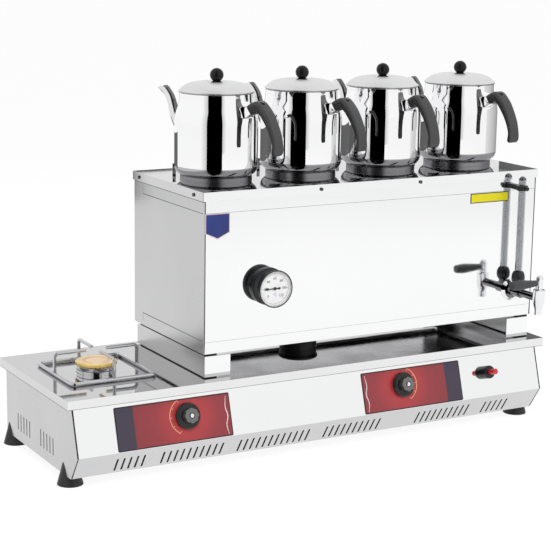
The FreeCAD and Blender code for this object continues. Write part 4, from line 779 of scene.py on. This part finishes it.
# Sheet faces that look one way, and the finish each gets. The darker sheet copies are painted shade for
# the way each face looks, with a rougher polish besides; the lighter cap top is painted light; the seam
# shade on the slot walls is painted shade in the slots.
facing = [
    ("stove_tray", "topSheet", "up"), ("stove_tray", "skirtSheet", "left", "right"),
    ("stove_tray", "rimSheet", "front"), ("boiler_top_cover", "topSheet", "up"),
    ("boiler_top_cover", "skirtSheet", "left", "right"),
    ("stove_front_panel", "skirtSheet", "underFront"), ("stand_sides", "sideSheet", "left", "right"),
    ("burner_cap_left", "capTop", "up"), ("stove_front_panel", "seamShade", "right", "left"),
    ("stove_side_panels", "seamShade", "back", "front"),
]

dressedParts = {node: softened(node, *look) for node, look in plainParts.items()}
for node, finish, *sides in facing:
    for side in sides:
        faceFinish(dressedParts[node], finish, ways[side])

# Faces picked by where they are: painted shade on the burner under the boiler, dark chrome as painted
# shade in the tap's dish and on the tubes' caps, and a bright hub on the tap's lever.
spots = {"paintedShadeFrom": -200, "hubRadius": 9.4, "dishRadius": 17.2, "tubeCapFrom": 521}
tapX, tapY = (joints["tap_turn"]["pos_m"][axis] / mm for axis in (0, 1))
tapZ = sum(boxOf("tap_shank"), Vector()).z / 2
for node, finish, inSpot in (
        ("burner_bodies", "ironPaintedShade", lambda at: at.x > spots["paintedShadeFrom"]),
        ("tap_lever", "chromePlate",
         lambda at: math.hypot(at.x - tapX, at.y - tapY) < spots["hubRadius"]),
        ("tap_shank", "chromePaintedShade",
         lambda at: math.hypot(at.x - tapX, at.z - tapZ) < spots["dishRadius"]),
        ("sight_glass_tube", "chromePaintedShade", lambda at: at.z > spots["tubeCapFrom"])):
    repaint(dressedParts[node], finish, lambda face: inSpot(face.center / mm))


# The gland nut of the sight glass is turned round and full-bellied, heights above its foot.
nutShape = {
    "outline": [(5, 0), (9.4, 0, 0.8), (13.6, 6, 5), (14.5, 13, 4), (13.6, 20, 4), (10.4, 27, 2),
                (8.2, 27), (8.2, 3.2), (5, 3.2)],
    "clear": 28, "steps": 48,
}


def makeNut(look):
    foot = boxOf("sight_glass_fittings")[0].z
    middle = sum(boxOf("sight_glass_tube"), Vector()) / 2
    fittings = dressedParts["sight_glass_fittings"].data
    shape = bmesh.new()
    shape.from_mesh(fittings)
    hexagon = [vert for vert in shape.verts if vert.co.z / mm < foot + look["clear"]]
    bmesh.ops.delete(shape, geom=hexagon, context="VERTS")
    shape.to_mesh(fittings)
    shape.free()
    lathe("glandNut", eased(look["outline"], closed=True), moved(middle.x, middle.y, foot), "urn",
          "knobPlastic", look["steps"])


makeNut(nutShape)
print("plain parts dressed,", len(plainParts))


# The open burner's cap: a heat-tinted ring on top, and a row of flame ports under its rim and a groove
# in the cup, drawn as dark marks that are painted shade.
capShape = {"centre": (-423.5, 25.25), "ring": (22.5, 27, 202.8, 203.08), "ports": 28,
            "portRadius": 37.5, "portWide": 3.4, "portLevels": (194.2, 196.6),
            "groove": (38.55, 39.05, 186.5, 188)}


def makeCap(look):
    body = bodyOf("burner_cap_left")
    axis = moved(*look["centre"], 0)
    lathe("capHeatRing", band(*look["ring"]), axis, body, "capHeat")
    points, faces = [], []
    half = look["portWide"] / 2
    for step in range(look["ports"]):
        turned = axis @ Matrix.Rotation(2 * math.pi * step / look["ports"], 4, "Z")
        faces.append(tuple(range(len(points), len(points) + 4)))
        points += [pointAt(turned, look["portRadius"], y, z)
                   for y, z in band(-half, half, *look["portLevels"])]
    meshPiece("capPorts", (points, faces), body, "seamShade")
    lathe("cupGroove", band(*look["groove"]), axis, "urn", "seamShade")


makeCap(capShape)

# Shade behind the casing's end slots, so that they read black: where each stands, and its band.
slotShade = {"Left": -541, "Right": 541, "band": (-95, 190, 38, 84)}
for side in ("Left", "Right"):
    points = [Vector((slotShade[side], y, z)) * mm for y, z in band(*slotShade["band"])]
    meshPiece("slotShade" + side, (points, [(0, 1, 2, 3)]), "urn", "ironPaintedShade")


# Painted shade lines where sheets meet or fold: start, end, which way each is wide, how wide, and which
# way it looks.
seams = {
    "coverSkirtLeft": ((-261.5, -124.5, 531), (-261.5, 195, 531), "down", 2.0, "left"),
    "coverCorner": ((-264.5, -125.8, 531), (-264.5, -125.8, 548.2), "back", 1.2, "left"),
    "creaseHigh": ((-258, -124.75, 507.5), (535, -124.75, 507.5), "down", 0.6, "front"),
    "creaseLow": ((-258, -124.75, 253), (535, -124.75, 253), "down", 0.4, "front"),
    "grooveHigh": ((-261.5, -118, 507.7), (-261.5, 153, 507.7), "down", 1.2, "left"),
    "grooveHighEnd": ((-261.5, 153, 507.7), (-261.5, 153, 527), "back", 0.8, "left"),
    "grooveLow": ((-261.5, -118, 255.7), (-261.5, 153, 255.7), "down", 1.2, "left"),
    "grooveLowEnd": ((-261.5, 153, 237), (-261.5, 153, 255.7), "back", 0.8, "left"),
    "trayRimFront": ((-557, -151.75, 162.1), (557, -151.75, 162.1), "up", 0.8, "front"),
    "trayRimLeft": ((-557.5, -151, 162.1), (-557.5, 208, 162.1), "up", 0.9, "left"),
}
seamLift = 0.06


def makeSeams():
    for name, (start, end, across, wide, out) in seams.items():
        lift = Vector(ways[out]) * seamLift
        start, end = Vector(start) + lift, Vector(end) + lift
        across = Vector(ways[across]) * wide
        points = [point * mm for point in (start, end, end + across, start + across)]
        meshPiece("seam" + name[0].upper() + name[1:], (points, [(0, 1, 2, 3)]), "urn", "seamShade")


makeSeams()
print("seams drawn,", len(seams))


# Teapots. Heights are from the pot's own base, reach is from its axis.
potShape = {
    "steps": 96,
    "outside": [(0, 1.2), (62, 1.2, 2), (64, 0, 1), (70.5, 0, 1.6), (70.5, 5, 0.5), (71.8, 5.6, 0.6),
                (71.8, 7.4, 0.6), (70.5, 8, 0.5), (70.5, 12.4, 0.8),
                (72.2, 13.4, 0.8), (72.2, 15.4, 0.8), (70.8, 16.6, 0.8), (74.5, 18.2, 1.2)],
    "bellyWay": (76, 19.4), "belly": ((84.5, 36), -21.2, 10),
    "baseTop": 18.6, "flareTop": 36.5, "rimLow": 181, "rimFlat": 0.7,
    "shoulder": [(84.5, 120), (79.5, 148), (74.5, 176)], "shoulderBend": 80.9,
    "neck": [(74.5, 181.4, 0.6), (76.2, 182, 0.5), (76.2, 184, 0.8), (74.0, 184, 0.5),
             (73.5, 174, 30), (83.5, 118, 60), (83.5, 36, 13), (71, 19, 3), (69.5, 2.4, 6), (0, 2.4)],
    "rim": 184,
    "spout": [(70, 78, -52, 17.5, 17.5), (76, 84.5, -50, 15, 15), (97, 104, -44, 12.9, 12.6),
              (112.5, 126, -28, 11.4, 10.8), (120.5, 146, -19, 10.3, 9.4), (127, 162, -27, 9.8, 8.8),
              (137.2, 174, -44, 9.6, 8.6), (149.4, 183.2, -16, 11.6, 8.8)],
    "spoutSteps": 40, "spoutOpen": 8, "spoutWall": 0.8, "spoutLip": 0.3, "spoutPaintedShade": 7,
    "bracket": [(73.5, 135.5), (83.5, 135.2), (99.5, 146.2), (90.4, 160.4), (73.5, 158.8)],
    "bracketWide": 22, "bracketEdge": 1.2, "bracketSoft": (0.8, 0.93),
}

handleShape = {
    "stations": [
        (95.05, 153.25, 57.35, 19.9, 26), (104.5, 158, 79, 21.5, 28), (116, 161.5, 93, 21, 29),
        (129, 151.3, 127.8, 16.5, 29), (136.3, 142.6, 146.5, 16, 28.5), (146.4, 127.1, 154.8, 13.5, 28),
        (155.5, 108.9, 169, 11.3, 28), (160.7, 91, 177, 8.8, 28), (161.2, 80, 181, 9.4, 29),
        (160, 73, 184, 10, 28), (159, 68.5, 184, 7, 22)],
    "face": 0.46, "widest": 0.17, "inner": 0.44,
    "soft": (3.2, 3.0, 2.4), "softAt": 14, "sides": ((6, 12), (17, 23)),
    # The hole near the handle's crest is drawn as a black oval: painted shade.
    "paintedHole": {"at": (120.8, 170.3), "lean": 104, "half": (6.6, 3.6), "levels": (-3.0, 0.7), "steps": 28},
}

lidShape = {
    "edge": [(72.5, -8, 0.4), (73, -8, 0.4), (73, -0.2, 0.4), (76.3, -0.2, 0.5), (76.3, 1.2, 0.6),
             (72.4, 4.8)],
    "crown": [((58, 14.6), -42), ((31, 19.3), -95), ((14, 15.2), -60)],
    "under": [(2, 15), (2, 14), (14, 14), (31, 17.5), (57, 11.4), (71.2, 3), (72, -7.6)],
    "stud": [(0, 9.2), (2, 9.2, 0.4), (2, 15)], "collar": [(0, 15), (12.4, 15, 0.5), (12.4, 16.4, 0.6)],
    "neck": (7.5, 20.4), "neckBend": -9, "ball": (13.9, 32.1), "ballSteps": 20, "knobSteps": 64,
}


def potPlace(number):
    axis = sum(boxOf(f"pot_{number}_lid_knob"), Vector()) / 2
    base = boxOf(f"pot_{number}_body")[0].z
    grip = nodes[f"pot_{number}_handle"].data.vertices
    tip = sum((vert.co for vert in grip), Vector()) / len(grip) / mm
    turn = math.atan2(tip.y - axis.y, tip.x - axis.x)
    print("teapot", number, "handle turned", round(math.degrees(turn), 1))
    return moved(axis.x, axis.y, base) @ Matrix.Rotation(turn, 4, "Z")


# A ring across a curved part: reach and height place it, lean tips it about the Y axis.
def leaningRing(place, reach, height, lean, outline):
    angle = math.radians(lean)
    return [pointAt(place, reach + x * math.cos(angle), y, height - x * math.sin(angle))
            for x, y in outline]


def ovalOutline(halfX, halfY, steps):
    return [(halfX * math.cos(2 * math.pi * step / steps), halfY * math.sin(2 * math.pi * step / steps))
            for step in range(steps)]


def makePotBody(number, place):
    look = potShape
    start, middle, end = look["shoulder"]
    bend = look["shoulderBend"]
    profile = eased(look["outside"] + [look["bellyWay"]])[:-1]
    profile += arcTo(profile[-1], *look["belly"])
    profile += [start] + arcTo(start, middle, -bend) + arcTo(middle, end, bend)
    profile += eased([end] + look["neck"])[1:]
    mesh = latheMesh(profile, place, look["steps"])

    # The spout, on the side away from the handle. Its inner wall starts part of the way up.
    around, wall, spoutFrom = look["spoutSteps"], look["spoutWall"], len(mesh[1])
    stations = smoothed(look["spout"])
    spoutTo = spoutFrom + around * (len(stations) - 1)
    stations += [(reach, height + look["spoutLip"], lean, halfX - wall, halfY - wall)
                 for reach, height, lean, halfX, halfY in reversed(stations[look["spoutOpen"]:])]
    addMesh(mesh, loftMesh([leaningRing(place, -reach, height, lean, ovalOutline(halfX, halfY, around))
                            for reach, height, lean, halfX, halfY in stations]))

    half = look["bracketWide"] / 2
    soft, share = look["bracketSoft"]
    side = eased([(x, z, look["bracketEdge"]) for x, z in look["bracket"]], closed=True, steps=3)
    block = [[pointAt(place, x, y, z) for x, z in side]
             for y in (-half, -half + soft, half - soft, half)]
    for row in (0, 3):
        middle = sum(block[row], Vector()) / len(block[row])
        block[row] = [middle + (point - middle) * share for point in block[row]]
    addMesh(mesh, loftMesh(block))

    pot = meshPiece(f"pot{number}Body", mesh, f"teapot_{number}", "potSteel",
                    crease=40)
    # Darker copies of the pot's steel are painted shade: on the base band and the rim bead, and under
    # the belly's flare.
    for finish in ("potPaintedShade", "potUndersidePaintedShade", "chromePaintedShade", "spoutSteel"):
        pot.data.materials.append(finishes[finish])
    for face in pot.data.polygons:
        height = (face.center.z - place.translation.z) / mm
        if height < look["baseTop"] or height > look["rimLow"] and face.normal.z < look["rimFlat"]:
            face.material_index = 1
        elif height < look["flareTop"]:
            face.material_index = 2
        # The spout's side toward the pot is darkened chrome: a painted reflection of the shaded gap
        # between spout and pot.
        if spoutFrom <= face.index < spoutTo:
            turn = (face.index - spoutFrom) % around
            face.material_index = 3 if min(turn, around - turn) < look["spoutPaintedShade"] else 4
    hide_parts(f"pot_{number}_body")


def makePotHandle(number, place):
    look = handleShape
    outer, middle, inner = look["soft"]
    rings = []
    for reach, height, lean, thick, wide in smoothed(look["stations"], steps=5):
        scale = thick / look["softAt"]
        half = [(-thick / 2, wide * look["face"], outer * scale),
                (-thick * look["widest"], wide / 2, middle),
                (thick / 2, wide * look["inner"], inner * scale)]
        outline = eased([(x, -y, soft) for x, y, soft in half] + half[::-1], closed=True, steps=4)
        rings.append(leaningRing(place, reach, height, lean, outline))
    handle = meshPiece(f"pot{number}Handle", loftMesh(rings), f"teapot_{number}", "handlePlastic",
                       crease=50)
    around = len(rings[0])
    last = around * (len(rings) - 1)
    # The side facets get a darker finish than the face: painted shade.
    repaint(handle, "handleSidePaintedShade", lambda face: face.index < last and any(
        first <= face.index % around <= final for first, final in look["sides"]))
    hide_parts(f"pot_{number}_handle")
    # The hole near the crest is a raised black oval: painted shade.
    paintedHole = look["paintedHole"]
    lean = math.radians(paintedHole["lean"])
    along = Vector((math.sin(lean), 0, math.cos(lean)))
    out = Vector((-math.cos(lean), 0, math.sin(lean)))
    spot = place @ moved(paintedHole["at"][0], 0, paintedHole["at"][1]) @ axes(along, out.cross(along), out)
    raised(f"pot{number}HandleHolePaintedShade", ovalOutline(*paintedHole["half"], paintedHole["steps"]), paintedHole["levels"], spot,
           f"teapot_{number}", "ballPlastic")


def makePotLid(number, place):
    look = lidShape
    place = place @ moved(0, 0, potShape["rim"])
    body = f"teapot_lid_{number}"
    profile = eased(look["edge"])
    for target, bend in look["crown"]:
        profile += arcTo(profile[-1], target, bend)
    lid = lathe(f"pot{number}Lid", profile + look["under"], place, body, "lidSteel",
                potShape["steps"], crease=40)
    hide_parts(f"pot_{number}_lid")
    radius, height = look["ball"]
    neck, steps = look["neck"], look["ballSteps"]
    low = math.asin((neck[1] - height) / radius)
    angles = [low + (math.pi / 2 - low) * step / steps for step in range(steps)]
    profile = eased(look["stud"]) + eased(look["collar"])[1:]
    profile += arcTo(look["collar"][-1][:2], neck, look["neckBend"])[:-1]
    profile += [(radius * math.cos(angle), height + radius * math.sin(angle)) for angle in angles]
    knob = lathe(f"pot{number}LidKnob", profile + [(0, height + radius)], place, body, "ballPlastic",
                 look["knobSteps"], crease=40)
    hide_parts(f"pot_{number}_lid_knob")


for number in range(1, 5):
    place = potPlace(number)
    makePotBody(number, place)
    makePotHandle(number, place)
    makePotLid(number, place)
print("teapots made")


# Thermometer dial: a printed white face with ticks and plain numbers, and a spade pointer.
dialShape = {
    "steps": 96, "thick": 1, "hole": 1.2, "edge": 0.15,
    "top": 120, "numberEvery": 20, "tickEvery": 5, "sweep": 270, "startAngle": 225,
    "tickOuter": 29.5, "tickLong": 4.6, "tickShort": 2.6, "tickWide": 0.55,
    "numberRadius": 20.5, "numberHigh": 5.6, "unitHigh": 6, "unitDrop": 13,
    "ink": 0.12, "ring": (30.6, 31.0, -0.05, 0.1),
    "pointer": [(-24, 0), (-17.5, 2.6), (-14, 1.5), (-12.5, 0.7), (0, 1.0), (8, 1.5), (10, 2.6),
                (12, 1.8), (12, -1.8), (10, -2.6), (8, -1.5), (0, -1.0), (-12.5, -0.7),
                (-14, -1.5), (-17.5, -2.6)],
    "pointerLevels": (0, 0.7), "pointerDepth": 0.8,
    "hub": [(0, -0.2), (3.4, -0.2), (3.4, 0.72), (2.6, 1.2), (0, 1.2)], "hubSteps": 32,
}

# Outline of the black case from its bulb forward: a flange, a hollow waist and the front rim.
caseShape = {
    "outline": [(0, -59.9), (5, -59.9, 1.2), (5, 0), (37.2, 0), (37.5, 0.4, 0.3), (37.5, 6.8, 0.8),
                (34.2, 7.4, 0.8), (30.8, 12.5, 8), (29.5, 18, 8), (31, 25, 5), (35.6, 27.8, 1.5),
                (36.6, 30.5, 1), (37.5, 31.4, 0.6), (37.5, 34.4, 0.8), (36.8, 35, 0.4), (35.5, 35, 0.3),
                (35.1, 27.9), (0, 27.9)],
    "deep": 35, "paintedShadeBand": (34.75, 35.05, 28.3, 34.4), "steps": 96,
}


# Text of a given height; sizeShare is how much taller the typeface's own size is.
def textMesh(name, words, height, place, finish, sizeShare=1.38):
    data = bpy.data.curves.new(name, "FONT")
    data.body = words
    data.size = height * mm * sizeShare
    data.align_x, data.align_y = "CENTER", "CENTER"
    data.resolution_u = 3
    item = placed(name, data)
    mesh = bpy.data.meshes.new_from_object(item)
    bpy.data.objects.remove(item)
    mesh.transform(place)
    return dressed(name, mesh, "urn", finish)


# A place whose own third axis looks out of the front.
def frontPlace(x, y, z):
    return moved(x, y, z) @ Matrix.Rotation(math.pi / 2, 4, "X")


def makeDialCase(look):
    low, high = boxOf("thermometer_case")
    place = frontPlace((low.x + high.x) / 2, low.y + look["deep"], (low.z + high.z) / 2)
    case = lathe("dialCase", eased(look["outline"]), place, "urn", "knobPlastic",
                 look["steps"])
    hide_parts("thermometer_case")
    # The grey band inside the front rim is painted shade: the rim's shadow on the face.
    lathe("dialLinerPaintedShade", band(*look["paintedShadeBand"]), place, "urn", "dialLinerPaintedShade", look["steps"])


def makeDial(look):
    low, high = boxOf("thermometer_dial")
    centre = (low + high) / 2
    face = frontPlace(centre.x, low.y, centre.z)
    radius, thick, hole, edge = (high.x - low.x) / 2, look["thick"], look["hole"], look["edge"]
    plate = lathe("dialFace", [(hole, -thick), (radius, -thick), (radius, -edge), (radius - edge, 0),
                               (hole, 0)], face, "urn", "dialPaint", look["steps"])
    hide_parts("thermometer_dial")
    ink = face @ moved(0, 0, look["ink"])
    points, faces = [], []
    for value in range(0, look["top"] + 1, look["tickEvery"]):
        angle = math.radians(look["startAngle"] - look["sweep"] * value / look["top"])
        long = value % look["numberEvery"] == 0
        inner = look["tickOuter"] - (look["tickLong"] if long else look["tickShort"])
        half = look["tickWide"] / (2 if long else 4)
        faces.append(tuple(range(len(points), len(points) + 4)))
        turned = ink @ Matrix.Rotation(angle, 4, "Z")
        points += [pointAt(turned, reach, side, 0)
                   for side, reach in band(-half, half, inner, look["tickOuter"])]
        if long:
            upright = turned @ moved(look["numberRadius"], 0, 0) @ Matrix.Rotation(-angle, 4, "Z")
            textMesh(f"dialNumber{value}", str(value), look["numberHigh"], upright, "dialInk")
    meshPiece("dialTicks", (points, faces), "urn", "dialInk")
    lathe("dialRing", band(*look["ring"]), face, "urn", "dialInk", look["steps"])
    textMesh("dialUnit", "°C", look["unitHigh"], ink @ moved(0, -look["unitDrop"], 0), "dialBlue")
    pointerLow, _ = boxOf("thermometer_pointer")
    needle = frontPlace(centre.x, pointerLow.y + look["pointerDepth"], centre.z)
    pointer = raised("dialPointer", look["pointer"], look["pointerLevels"], needle,
                     "thermometer_pointer", "dialInk")
    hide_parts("thermometer_pointer")
    lathe("pointerHub", look["hub"], needle, "thermometer_pointer", "dialInk",
          look["hubSteps"])


makeDialCase(caseShape)
makeDial(dialShape)
print("dial made")


# Control plates: a printed red panel with a slate band at its outer end and a marked arc by the knob.
plateShape = {
    "corner": 3, "border": 2.2, "edge": 0.15, "baseDrop": 0.1, "printDrop": 0.08, "inkDrop": 0.02,
    "bandWide": 39, "redGrid": (24, 8), "redReach": 150,
    "arcRadius": 36, "arcWide": 1.3, "arcHalf": 62,
    "arcTicks": 5, "tickLong": 3.2, "tickGap": 1.5, "tickHalf": 0.6,
    "ribbon": [(9, 4), (12, 22), (7.5, 40), (11, 58), (8, 79)], "ribbonWide": 2.4, "ribbonEnd": 0.35,
}


# The slanted panel's own axes at a knob or button: along, up and out.
def panelPlace(joint):
    pin = joints[joint]
    out = Vector((0, -abs(pin["axis"][1]), abs(pin["axis"][2])))
    along = Vector((1, 0, 0))
    return Matrix.Translation(pin["pos_m"]) @ axes(along, out.cross(along), out)


def stripMesh(one, other, level, place):
    points = [pointAt(place, x, y, level) for pair in zip(one, other) for x, y in pair]
    faces = [(2 * step, 2 * step + 1, 2 * step + 3, 2 * step + 2) for step in range(len(one) - 1)]
    return points, faces


def arcMesh(radius, wide, start, end, level, place, steps=36):
    angles = [math.radians(start + (end - start) * step / steps) for step in range(steps + 1)]
    inner, outer = ([(reach * math.cos(angle), reach * math.sin(angle)) for angle in angles]
                    for reach in (radius - wide / 2, radius + wide / 2))
    return stripMesh(inner, outer, level, place)


def makePlate(side, look):
    def printed(name, mesh, finish):
        return meshPiece("plate" + name + side.title(), mesh, "urn", finish)

    place = panelPlace(f"gas_turn_{side}")
    back = place.inverted()
    middle = (joints["gas_turn_left"]["pos_m"][0] + joints["gas_turn_right"]["pos_m"][0]) / 2
    sign = -1 if side == "left" else 1
    corners = [back @ vert.co / mm for vert in nodes["control_plates"].data.vertices
               if (vert.co.x - middle) * sign > 0]
    (lowX, highX), (lowY, highY), (base, top) = (
        (min(c[axis] for c in corners), max(c[axis] for c in corners)) for axis in range(3))
    corner, edge = look["corner"], look["border"]
    outline = eased([(x, y, corner) for x, y in band(lowX, highX, lowY, highY)], closed=True, steps=4)
    plate = raised(f"plateBase{side.title()}", outline, (base, top - look["baseDrop"]), place, "urn",
                   "plateBorder", bevel=look["edge"])

    level, ink = top - look["printDrop"], top - look["inkDrop"]
    foot, head = lowY + edge, highY - edge
    if side == "left":
        split = lowX + look["bandWide"]
        slate, red = (lowX + edge, split), (split, highX - edge)
    else:
        split = highX - look["bandWide"]
        slate, red = (split, highX - edge), (lowX + edge, split)
    columns, rows = look["redGrid"]
    points, faces, knobWays = [], [], []
    for row in range(rows + 1):
        for column in range(columns + 1):
            x = red[0] + (red[1] - red[0]) * column / columns
            y = foot + (head - foot) * row / rows
            points.append(pointAt(place, x, y, level))
            knobWays.append((x / look["redReach"], y / look["redReach"]))
            if row < rows and column < columns:
                first = row * (columns + 1) + column
                faces.append((first, first + 1, first + columns + 2, first + columns + 1))
    field = printed("Red", (points, faces), "plateRed")
    layer = field.data.uv_layers.new(name="fromKnob").data
    for loop in field.data.loops:
        layer[loop.index].uv = knobWays[loop.vertex_index]
    printed("Band", stripMesh(*([(x, foot), (x, head)] for x in slate), level, place), "plateSlate")

    # The arc is on the knob's slate side, with ticks inside it.
    towards = 180 if side == "left" else 0
    radius, half = look["arcRadius"], look["arcHalf"]
    arc = arcMesh(radius, look["arcWide"], towards - half, towards + half, ink, place)
    for step in range(look["arcTicks"]):
        angle = math.radians(towards - half + 2 * half * step / (look["arcTicks"] - 1))
        out = Vector((math.cos(angle), math.sin(angle)))
        across = Vector((-out.y, out.x)) * look["tickHalf"]
        ends = [out * (radius - look["tickGap"] - long) for long in (look["tickLong"], 0)]
        addMesh(arc, stripMesh(*([end + across * turn for end in ends] for turn in (-1, 1)), ink,
                               place))
    printed("Arc", arc, "plateOrange")

    start = highX if side == "left" else lowX
    wave = smoothed([(start + sign * x, lowY + y) for x, y in look["ribbon"]], steps=8)
    thin = look["ribbonEnd"]
    sides = [[], []]
    for step, (x, y) in enumerate(wave):
        wide = look["ribbonWide"] * (thin + (1 - thin) * math.sin(math.pi * step / (len(wave) - 1)))
        sides[0].append((x - wide / 2, y))
        sides[1].append((x + wide / 2, y))
    printed("Ribbon", stripMesh(*sides, ink, place), "platePale")
    return plate


plates = [makePlate(side, plateShape) for side in ("left", "right")]
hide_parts("control_plates")
print("control plates made")


# Gas knobs: a round skirt under an eight-lobed grip with a chrome cap.
knobShape = {
    "skirt": [(0, 2), (25, 2), (25.8, 3.2, 0.8), (25.8, 6.5, 1.2), (23.2, 9.4, 2), (16, 10.4),
              (0, 10.4)],
    "gripLow": 8, "gripTop": 26, "gripRadius": 15.2, "gripSteps": 96, "lobes": 8, "lobeDepth": 1.5,
    "lobeSharp": 1.6, "gripSoft": 1.8,
    "ring": (6, -0.5, 0.1), "cap": [(0, -0.2), (4.2, -0.2), (4.2, 0.5), (3.5, 1.1), (0, 1.1)],
    "capSteps": 48,
}


def makeKnob(side, look):
    node = f"gas_knob_{side}"
    body = bodyOf(node)
    place = panelPlace(f"gas_turn_{side}")
    back = place.inverted()
    levels = [(back @ vert.co).z / mm for vert in nodes[node].data.vertices]
    foot = place @ moved(0, 0, min(levels) - look["skirt"][0][1])
    skirt = lathe(f"knobSkirt{side.title()}", eased(look["skirt"]), foot, body, "glossBlack")
    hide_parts(node)
    gripPlace = place @ moved(0, 0, max(levels) - look["gripTop"])
    soft = look["gripSoft"]
    stations = [(look["gripLow"], 0.0), (look["gripTop"] - soft, 0.0)]
    for degrees in (30, 60, 90):
        angle = math.radians(degrees)
        stations.append((look["gripTop"] - soft + soft * math.sin(angle), soft * (1 - math.cos(angle))))
    rings = []
    for level, inwards in stations:
        ring = []
        for step in range(look["gripSteps"]):
            angle = 2 * math.pi * step / look["gripSteps"]
            lobe = look["lobeDepth"] * (0.5 - 0.5 * math.cos(look["lobes"] * angle)) ** look["lobeSharp"]
            reach = look["gripRadius"] - lobe - inwards
            ring.append(pointAt(gripPlace, reach * math.cos(angle), reach * math.sin(angle), level))
        rings.append(ring)
    grip = meshPiece(f"knobGrip{side.title()}", loftMesh(rings), body, "gripPlastic",
                     crease=40)
    # The grip's top face gets a lighter finish: painted light.
    faceFinish(grip, "gripTopPaintedLight", place.to_3x3() @ Vector((0, 0, 1)), spread=0.6)
    top = gripPlace @ moved(0, 0, look["gripTop"])
    lathe(f"knobRing{side.title()}", band(0, *look["ring"]), top, body, "glossBlack",
          look["capSteps"])
    lathe(f"knobCap{side.title()}", look["cap"], top, body, "chromePlate",
          look["capSteps"])


for side in ("left", "right"):
    makeKnob(side, knobShape)
print("knobs made")


# Bare plates on the boiler's front: a blue five-sided one and a yellow strip.
labelShape = {"badgeEdge": 1.9, "stripEdge": 2.0, "soft": 0.25, "paint": 0.12, "plate": (-0.8, -0.05),
              "corner": 0.5}


def inset(outline, depth):
    out = []
    for index, point in enumerate(outline):
        here = Vector(point)
        back = (Vector(outline[index - 1]) - here).normalized()
        ahead = (Vector(outline[(index + 1) % len(outline)]) - here).normalized()
        half = back.angle(ahead) / 2
        out.append(tuple(here + (back + ahead).normalized() * depth / math.sin(half)))
    return out


def makeLabels(look):
    middle = sum(boxOf("front_plates"), Vector()) / 2
    corners = [vert.co / mm for vert in nodes["front_plates"].data.vertices]
    badge, strip = ([c for c in corners if (c.x - middle.x) * sign > 0] for sign in (-1, 1))

    def edges(found):
        return [pick(c[axis] for c in found) for axis in (0, 2) for pick in (min, max)]

    left, right, low, high = edges(badge)
    side = min(c.z for c in badge if abs(c.x - left) < look["corner"])
    fiveSided = [((left + right) / 2, low), (right, side), (right, high), (left, high), (left, side)]
    upright = frontPlace(0, min(c.y for c in strip), 0)
    for name, outline, edge, border, paint in (
            ("badge", fiveSided, look["badgeEdge"], "badgeBorder", "badgeBlue"),
            ("strip", band(*edges(strip)), look["stripEdge"], "stripBorder", "stripYellow")):
        raised(name + "Plate", outline, look["plate"], upright, "urn", border,
                          bevel=look["soft"])
        raised(name + "Paint", inset(outline, edge), (-look["paint"], 0), upright, "urn", paint)
    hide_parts("front_plates")


makeLabels(labelShape)
print("labels made")


print("all pieces made")
